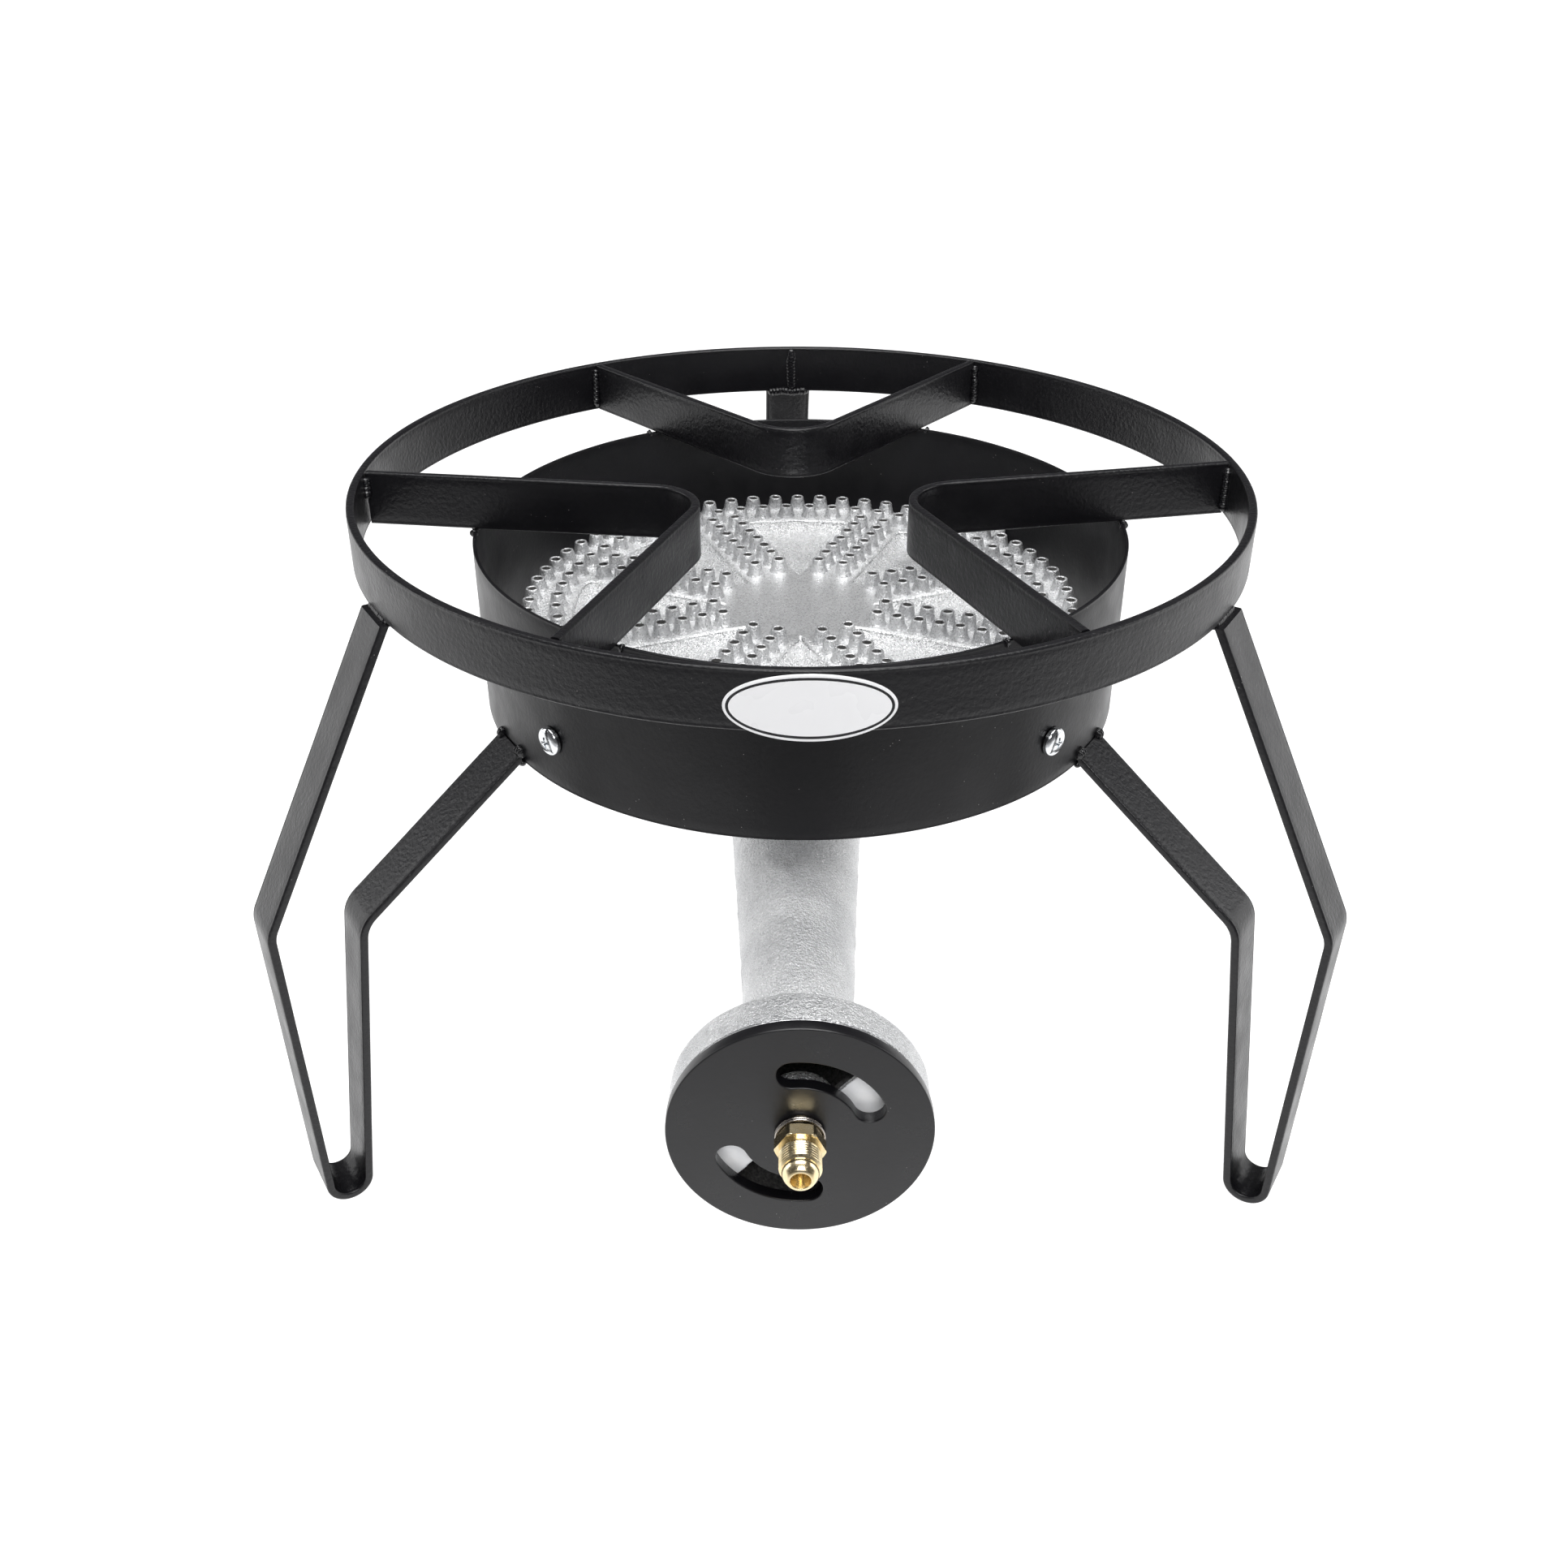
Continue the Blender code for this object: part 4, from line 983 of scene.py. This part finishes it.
def mould_line(mesh):
    """Raises a low ragged line along the sides of the tube and bell, where the mould's halves met."""
    for vertex in mesh.vertices:
        reach = AXIS.y - vertex.co.y
        away = abs(vertex.co.z - TUBE_Z)
        if reach > 0.036 and reach < WEB_FRONT - 0.001 and away < 0.0022:
            ragged = 0.6 + 0.4 * noise.noise(vertex.co / 0.006)
            push = 0.0006 * ragged * math.exp(-(away / 0.0008) ** 2)
            vertex.co.x += math.copysign(push, vertex.co.x - TUBE_X)
    mesh.update()


def add_nozzles():
    """Every nozzle is a small bored cup with a flared foot, each a little different."""
    rng = random.Random(5)
    steps, bore_row = 20, 10
    shells = []
    for x, y, full in nozzle_places():
        top = full - 0.0002
        cup = [(0, -0.001), (0.0049, -0.001), (0.0047, 0.0001), (0.0043, 0.0006), (0.004, 0.0014),
               (0.0037, top * 0.55), (0.0034, top - 0.001), (0.00325, top - 0.0003), (0.003, top),
               (0.0024, top), (0.0021, top - 0.0003), (0.0019, top - 0.0009), (0.0016, 0.0015), (0, 0.0015)]
        size = rng.uniform(0.95, 1.03)
        height = rng.uniform(0.94, 1.0)
        lean = Matrix.Rotation(rng.gauss(0, 0.025), 4, "X") @ Matrix.Rotation(rng.gauss(0, 0.025), 4, "Y")
        place = Matrix.Translation((AXIS.x + x, AXIS.y + y, HEAD_TOP)) @ lean
        points, faces = turned([(r * size, z * height) for r, z in cup], steps)
        # the bore's faces take painted shade, a dark colour inside each hole
        bore = set(range(bore_row * steps, len(faces)))
        shells.append((moved(points, place), [tuple(f) for f in faces], bore))
    mesh = new_mesh("nozzles", shells)
    roughened(mesh, [(0.0016, 0.00008), (0.0007, 0.00003)])
    grain = mesh.attributes.new("grain", "FLOAT", "POINT")
    grain.data.foreach_set("value", [0.5] * len(mesh.vertices))
    add_piece("gas_nozzles", mesh, [CASTING, PAINTED_SHADE], sharp=0)


# ---------------------------------------------------------------- shutter, fitting, spring and jet

def add_shutter():
    """A pressed disc with two arc slots and a bore, every edge of it rounded alike."""
    front, back, edge = SHUTTER_FRONT, SHUTTER_BACK, 0.0005
    outlines = [arc((0, 0), SHUTTER_RADIUS, 0, 360, 240)[:-1], arc((0, 0), 0.00715, 360, 0, 72)[:-1]]
    for turn in (0, 180):
        outlines.append(slot_outline(SLOT_RADIUS, SLOT_WIDTH, SLOT_START + turn, SLOT_SPAN)[::-1])
    curve = bpy.data.curves.new("shutter", "CURVE")
    curve.dimensions = "2D"
    curve.fill_mode = "BOTH"
    curve.extrude = (front - back) / 2 - edge
    curve.bevel_depth = edge
    curve.offset = -edge
    curve.bevel_resolution = 4
    for outline in outlines:
        spline = curve.splines.new("POLY")
        spline.points.add(len(outline) - 1)
        spline.use_cyclic_u = True
        for point, (x, y) in zip(spline.points, outline):
            point.co = (x, y, 0, 1)
    obj = plain_object("shutter_work", curve)
    obj.matrix_world = TUBE_FRAME @ Matrix.Translation((0, 0, (front + back) / 2))
    add_piece("shutter_disc", evaluated_mesh(obj), ENAMEL, body="shutter", stands_for=["air_shutter"], sharp=50)


HEX_BACK = 0.2685
HEX_FRONT = 0.2738
HEX_ACROSS_FLATS = 0.017
HEX_TURN = math.radians(-33.5)
THREAD_RADIUS = 0.0079
THREAD_PITCH = 0.0012
THREAD_START = 0.2757
THREAD_END = 0.2834
NOSE_RADIUS = 0.0068
FITTING_SHANK_RADIUS = 0.00685
FITTING_BORE_RADIUS = 0.00365
NOSE_RIM_RADIUS = 0.0044


def hex_radius(angles, across_flats):
    """The radius of a hexagon at each angle, its flats facing the X axis."""
    local = (angles + math.pi / 6) % (math.pi / 3) - math.pi / 6
    return across_flats / 2 / np.cos(local)


def smooth_step(values, low, high):
    t = np.clip((values - low) / (high - low), 0, 1)
    return t * t * (3 - 2 * t)


def add_fitting():
    """The brass inlet: a crisp hexagon, a shallow screw thread cut as a helix, and a bored bullet nose."""
    tip, crest = FITTING_TIP, THREAD_RADIUS
    root = crest - 0.0005
    nose = softened([(NOSE_RADIUS, THREAD_END + 0.0003), (NOSE_RADIUS, tip - 0.0028),
                     (NOSE_RIM_RADIUS + 0.0008, tip - 0.0004), (NOSE_RIM_RADIUS, tip),
                     (FITTING_BORE_RADIUS + 0.0002, tip)], 2)
    thread = [(crest, z) for z in np.arange(THREAD_START, THREAD_END, 0.00012)]
    hexagon = [(HEX_ACROSS_FLATS, z) for z in np.linspace(HEX_BACK, HEX_FRONT, 40)]
    back_end = [(0, FITTING_BACK), (FITTING_SHANK_RADIUS, FITTING_BACK), (FITTING_SHANK_RADIUS, HEX_BACK)]
    neck = [(root, HEX_FRONT), (root, THREAD_START - 0.0003)]
    bore = [(FITTING_BORE_RADIUS, tip - 0.0003), (FITTING_BORE_RADIUS, FITTING_BACK + 0.004),
            (0, FITTING_BACK + 0.004)]

    def shape(radii, heights, angles):
        in_hex = radii > HEX_ACROSS_FLATS - 0.000001
        corner = HEX_ACROSS_FLATS / 2 / math.cos(math.pi / 6) - 0.00025
        inset = np.clip(np.minimum(heights - HEX_BACK, HEX_FRONT - heights), 0, None)
        chamfer = HEX_ACROSS_FLATS / 2 + 0.0007 + inset * 1.75
        flats = np.minimum(np.minimum(hex_radius(angles - HEX_TURN, HEX_ACROSS_FLATS), corner), chamfer)
        radii = np.where(in_hex, flats, radii)
        on_thread = np.abs(radii - crest) < 0.0000001
        wave = 0.5 - 0.5 * np.cos(2 * math.pi * ((heights - THREAD_START) / THREAD_PITCH - angles / (2 * math.pi)))
        fade = (smooth_step(heights, THREAD_START, THREAD_START + 0.0006)
                * (1 - smooth_step(heights, THREAD_END - 0.0003, THREAD_END)))
        return np.where(on_thread, root + (crest - root) * fade * (1 - 0.85 * wave), radii), heights

    points, faces = turned(back_end + hexagon + neck + thread + nose + bore, 144, shape=shape)
    mesh = new_mesh("fitting", [(moved(points, TUBE_FRAME), [tuple(f) for f in faces])])
    add_piece("inlet_nipple", mesh, BRASS, stands_for=["inlet_fitting"], sharp=38)


def add_spring():
    """Two turns of round wire in front of the shutter."""
    wire = 0.00055
    radius = (SPRING_HIGH.x - SPRING_LOW.x) / 2 - wire
    first, last = SHUTTER_FRONT + GAP + wire, HEX_BACK - GAP - wire
    rows, columns, turns = 150, 12, 1.9
    points = []
    for i in range(rows):
        u = i / (rows - 1)
        angle = 2 * math.pi * turns * u + 0.6
        middle = Vector((radius * math.cos(angle), radius * math.sin(angle), first + (last - first) * u))
        out = Vector((math.cos(angle), math.sin(angle), 0))
        for j in range(columns):
            a = 2 * math.pi * j / columns
            points.append(middle + out * wire * math.cos(a) + Vector((0, 0, wire * math.sin(a))))
    faces = [tuple(f) for f in grid_faces(rows, columns)]
    faces += [tuple(range(columns)), tuple(range((rows - 1) * columns, rows * columns))]
    mesh = new_mesh("spring", [(moved([tuple(p) for p in points], TUBE_FRAME), faces)])
    add_piece("spring_coil", mesh, SPRING_STEEL, stands_for=["shutter_spring"])


def hex_solid(across_flats, bottom, top, bore, chamfer, frame, outer_cap=None):
    """A chamfered hexagon with a bore, turned from a radius that follows its flats."""
    profile = [(bore, top)] + [(across_flats, z) for z in np.linspace(top, bottom, 24)] + [(bore, bottom)]

    def shape(radii, heights, angles):
        edge = np.clip(np.minimum(heights - bottom, top - heights), 0, None)
        rounded = across_flats / 2 - 0.0001 + edge * chamfer
        flats = np.minimum(hex_radius(angles, across_flats), rounded)
        return np.where(radii > across_flats - 0.000001, flats, radii), heights

    points, faces = turned(profile, 96, shape=shape, closed=True)
    return moved(points, frame), [tuple(f) for f in faces]


def add_jet():
    back, front = FITTING_BACK - GAP, JET_LOW.y
    hexagon = hex_solid(0.011, back - 0.006, back, 0.0008, 1.75, TUBE_FRAME)
    shank = turned([(0.0008, back + 0.0039), (0.0042, back + 0.0039), (0.0042, back - 0.001),
                    (0.0008, back - 0.001)], 64, closed=True)
    shells = [hexagon, (moved(shank[0], TUBE_FRAME), [tuple(f) for f in shank[1]])]
    add_piece("gas_jet", new_mesh("jet", shells), BRASS, stands_for=["orifice_jet"])


def add_screws():
    """Pan head screws with a tapered cross recess, and their nuts behind the ears."""
    rng = random.Random(9)
    for number in range(4):
        low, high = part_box(f"guard_screw_{number + 1}")
        angle = 45 + 90 * number
        frame = radial_frame(angle, (low.z + high.z) / 2)
        head_start, radius, height = GUARD_RADIUS + GAP, 0.0064, 0.0036
        dome = [(radius * math.sin(a), head_start + 0.0010 + (height - 0.0010) * math.cos(a) ** 0.8)
                for a in np.radians(range(0, 91, 6))]
        shank = [(radius, head_start), (0.00275, head_start)]
        for i, z in enumerate(np.arange(head_start - 0.0004, 0.1369, -0.0004)):
            shank.append((0.00275 - (0.0003 if i % 2 else 0), z))
        profile = dome + shank + [(0.0022, 0.1364), (0, 0.1363)]
        mesh = turned_mesh("screw", profile, frame, 72)
        twist = Matrix.Rotation(math.radians(rng.uniform(0, 90)), 4, "Z")
        arms = []
        for turn in (0, 90):
            wing = frame @ twist @ Matrix.Rotation(math.radians(turn), 4, "Z")
            top, bottom = head_start + height + 0.001, head_start + height - 0.0024
            corners = [(0.0033, 0.0007, top), (0.0012, 0.00045, bottom)]
            points = [(sx * x, sy * y, z) for x, y, z in corners for sx, sy in ((-1, -1), (1, -1), (1, 1), (-1, 1))]
            faces = [(0, 1, 2, 3), (4, 5, 6, 7), (0, 1, 5, 4), (1, 2, 6, 5), (2, 3, 7, 6), (3, 0, 4, 7)]
            arms.append(new_mesh("wing", [(moved(points, wing), faces)]))
        mesh = boolean(mesh, arms, "DIFFERENCE")
        add_piece(f"screw_{number + 1}", mesh, ZINC, stands_for=[f"guard_screw_{number + 1}"], sharp=32)
        nut = hex_solid(0.010, 0.1381, 0.1431, 0.0029, 1.75, frame)
        add_piece(f"nut_{number + 1}", new_mesh("nut", [nut]), ZINC, stands_for=[f"guard_nut_{number + 1}"])


# ---------------------------------------------------------------- the badge

def add_badge():
    """A blank white oval curved to the front of the ring, with one thin dark line inside its edge."""
    centre_z = (BADGE_LOW.z + BADGE_HIGH.z) / 2
    half_height = (BADGE_HIGH.z - BADGE_LOW.z) / 2
    middle = math.asin(((BADGE_LOW.x + BADGE_HIGH.x) / 2 - AXIS.x) / RING_RADIUS)
    half_width = (BADGE_HIGH.x - BADGE_LOW.x) / 2
    steps, line = 160, (0.0012, 0.0023)
    insets = [0, 0, 0.00025, 0.0006, line[0], line[1]] + [line[1] + i * 0.0012 for i in range(1, 9)]
    lifts = [-0.0002, 0.00012, 0.00042] + [0.0005] * (len(insets) - 3)
    line_row = insets.index(line[0])
    points = []
    for inset, lift in zip(insets, lifts):
        for i in range(steps):
            a = 2 * math.pi * i / steps
            turn = middle + (half_width - inset) * math.cos(a) / RING_RADIUS
            radius = RING_RADIUS + lift
            points.append((AXIS.x + radius * math.sin(turn), AXIS.y - radius * math.cos(turn),
                           centre_z + (half_height - inset) * math.sin(a)))
    count = len(insets)
    faces = [tuple(f) for f in grid_faces(count, steps)]
    faces += [tuple(range(steps))] + middle_faces((count - 1) * steps, steps)
    dark = set(range(line_row * steps, (line_row + 1) * steps))
    mesh = new_mesh("badge", [(points, faces, dark)])
    add_piece("badge_oval", mesh, [WHITE_LABEL, BLACK_LABEL], stands_for=["badge_plate"])


def middle_faces(first, steps):
    """Upright strips of quads that fill a closed loop of points, the top half joined to the bottom."""
    half = steps // 2
    faces = []
    for i in range(half):
        faces.append((first + i, first + i + 1, first + (steps - i - 1) % steps, first + (steps - i) % steps))
    return faces


# ---------------------------------------------------------------- stage, lights and camera

FRONT_GLOW = 0.12
BACK_GLOW = 1.0


def add_floor():
    """A pale dish: flat under and round the stand, and curving up a long way off on every side.

    It looks equally pale all over, but gives little light from in front of the stand.
    """
    flat, rise, top = 4.0, 0.4, 0.5
    profile = [(0, 0.0), (0.5, 0.0), (1.5, 0.0), (flat, 0.0)]
    profile += [(flat + rise * math.sin(a), rise - rise * math.cos(a)) for a in np.radians(range(6, 91, 6))]
    profile.append((flat + rise, top))
    points, faces = turned(profile, 96)
    mesh = new_mesh("floor", [(points, [tuple(f) for f in faces])])
    mesh.flip_normals()
    material, tree, shader = new_material("pale_floor", (0.3, 0.3, 0.303), 0.75, 0.0)
    tree.links.new(remap(tree, noise_texture(tree, 8, 2), 0.3, 0.7, 0.7, 0.8), shader.inputs["Roughness"])
    shader.inputs["Emission Color"].default_value = (1, 1, 1, 1)
    place = tree.nodes.new("ShaderNodeSeparateXYZ")
    tree.links.new(coordinates(tree), place.inputs["Vector"])
    glow = remap(tree, place.outputs["Y"], -0.62, -0.38, FRONT_GLOW, BACK_GLOW)
    seen = tree.nodes.new("ShaderNodeLightPath").outputs["Is Camera Ray"]
    tree.links.new(math_node(tree, "MAXIMUM", glow, seen), shader.inputs["Emission Strength"])
    mesh.materials.append(material)
    mesh.shade_smooth()
    floor = bpy.data.objects.new("floor", mesh)
    bpy.context.scene.collection.objects.link(floor)


def add_softbox(name, place, target, width, height, power):
    light = bpy.data.lights.new(name, "AREA")
    light.shape = "RECTANGLE"
    light.size, light.size_y = width, height
    light.energy = power
    obj = bpy.data.objects.new(name, light)
    direction = Vector(target) - Vector(place)
    obj.matrix_world = Matrix.Translation(place) @ direction.to_track_quat("-Z", "Y").to_matrix().to_4x4()
    bpy.context.scene.collection.objects.link(obj)


def add_lights():
    middle = (0, 0, 0.2)
    add_softbox("softbox_top", (0, 0.1, 1.7), middle, 1.4, 1.0, 24)
    add_softbox("softbox_front", (0.15, -1.35, 1.55), middle, 1.1, 0.7, 26)
    add_softbox("softbox_left", (-1.7, 0.15, 0.75), middle, 1.0, 1.0, 8)
    add_softbox("softbox_right", (1.7, 0.15, 0.75), middle, 1.0, 1.0, 8)
    world = bpy.data.worlds.new("studio")
    world.use_nodes = True
    tree = world.node_tree
    seen = tree.nodes.new("ShaderNodeLightPath").outputs["Is Camera Ray"]
    ceiling = mix_colour(tree, seen, (0.1, 0.1, 0.105), (1.0, 1.0, 1.0))
    tree.links.new(ceiling, tree.nodes["Background"].inputs["Color"])
    bpy.context.scene.world = world


CAMERA_PLACE = Vector((-0.008303, AXIS.y - 0.694610, RING_TOP + 0.249928))
CAMERA_YAW = -0.00130435
CAMERA_PITCH = 0.54208594
CAMERA_ROLL = 0.00144584
CAMERA_FOCAL = 36.275


def add_camera():
    """Looks down at the stand from the front, at the angle that its ring and legs were set out from."""
    forward = Vector((-math.sin(CAMERA_YAW) * math.cos(CAMERA_PITCH), math.cos(CAMERA_YAW) * math.cos(CAMERA_PITCH),
                      -math.sin(CAMERA_PITCH)))
    level = Vector((math.cos(CAMERA_YAW), math.sin(CAMERA_YAW), 0))
    up = level.cross(forward)
    right = level * math.cos(CAMERA_ROLL) + up * math.sin(CAMERA_ROLL)
    upright = up * math.cos(CAMERA_ROLL) - level * math.sin(CAMERA_ROLL)
    camera = bpy.data.cameras.new("camera")
    camera.sensor_width = 36
    camera.lens = CAMERA_FOCAL
    camera.clip_start, camera.clip_end = 0.01, 50
    obj = bpy.data.objects.new("camera", camera)
    turn = Matrix((right, upright, -forward)).transposed().to_4x4()
    obj.matrix_world = Matrix.Translation(CAMERA_PLACE) @ turn
    bpy.context.scene.collection.objects.link(obj)
    bpy.context.scene.camera = obj


add_ring()
add_supports()
add_legs()
add_guard()
add_welds()
add_burner()
add_nozzles()
add_shutter()
add_fitting()
add_spring()
add_jet()
add_screws()
add_badge()
add_floor()
add_lights()
add_camera()
bpy.context.scene.view_settings.view_transform = "Standard"
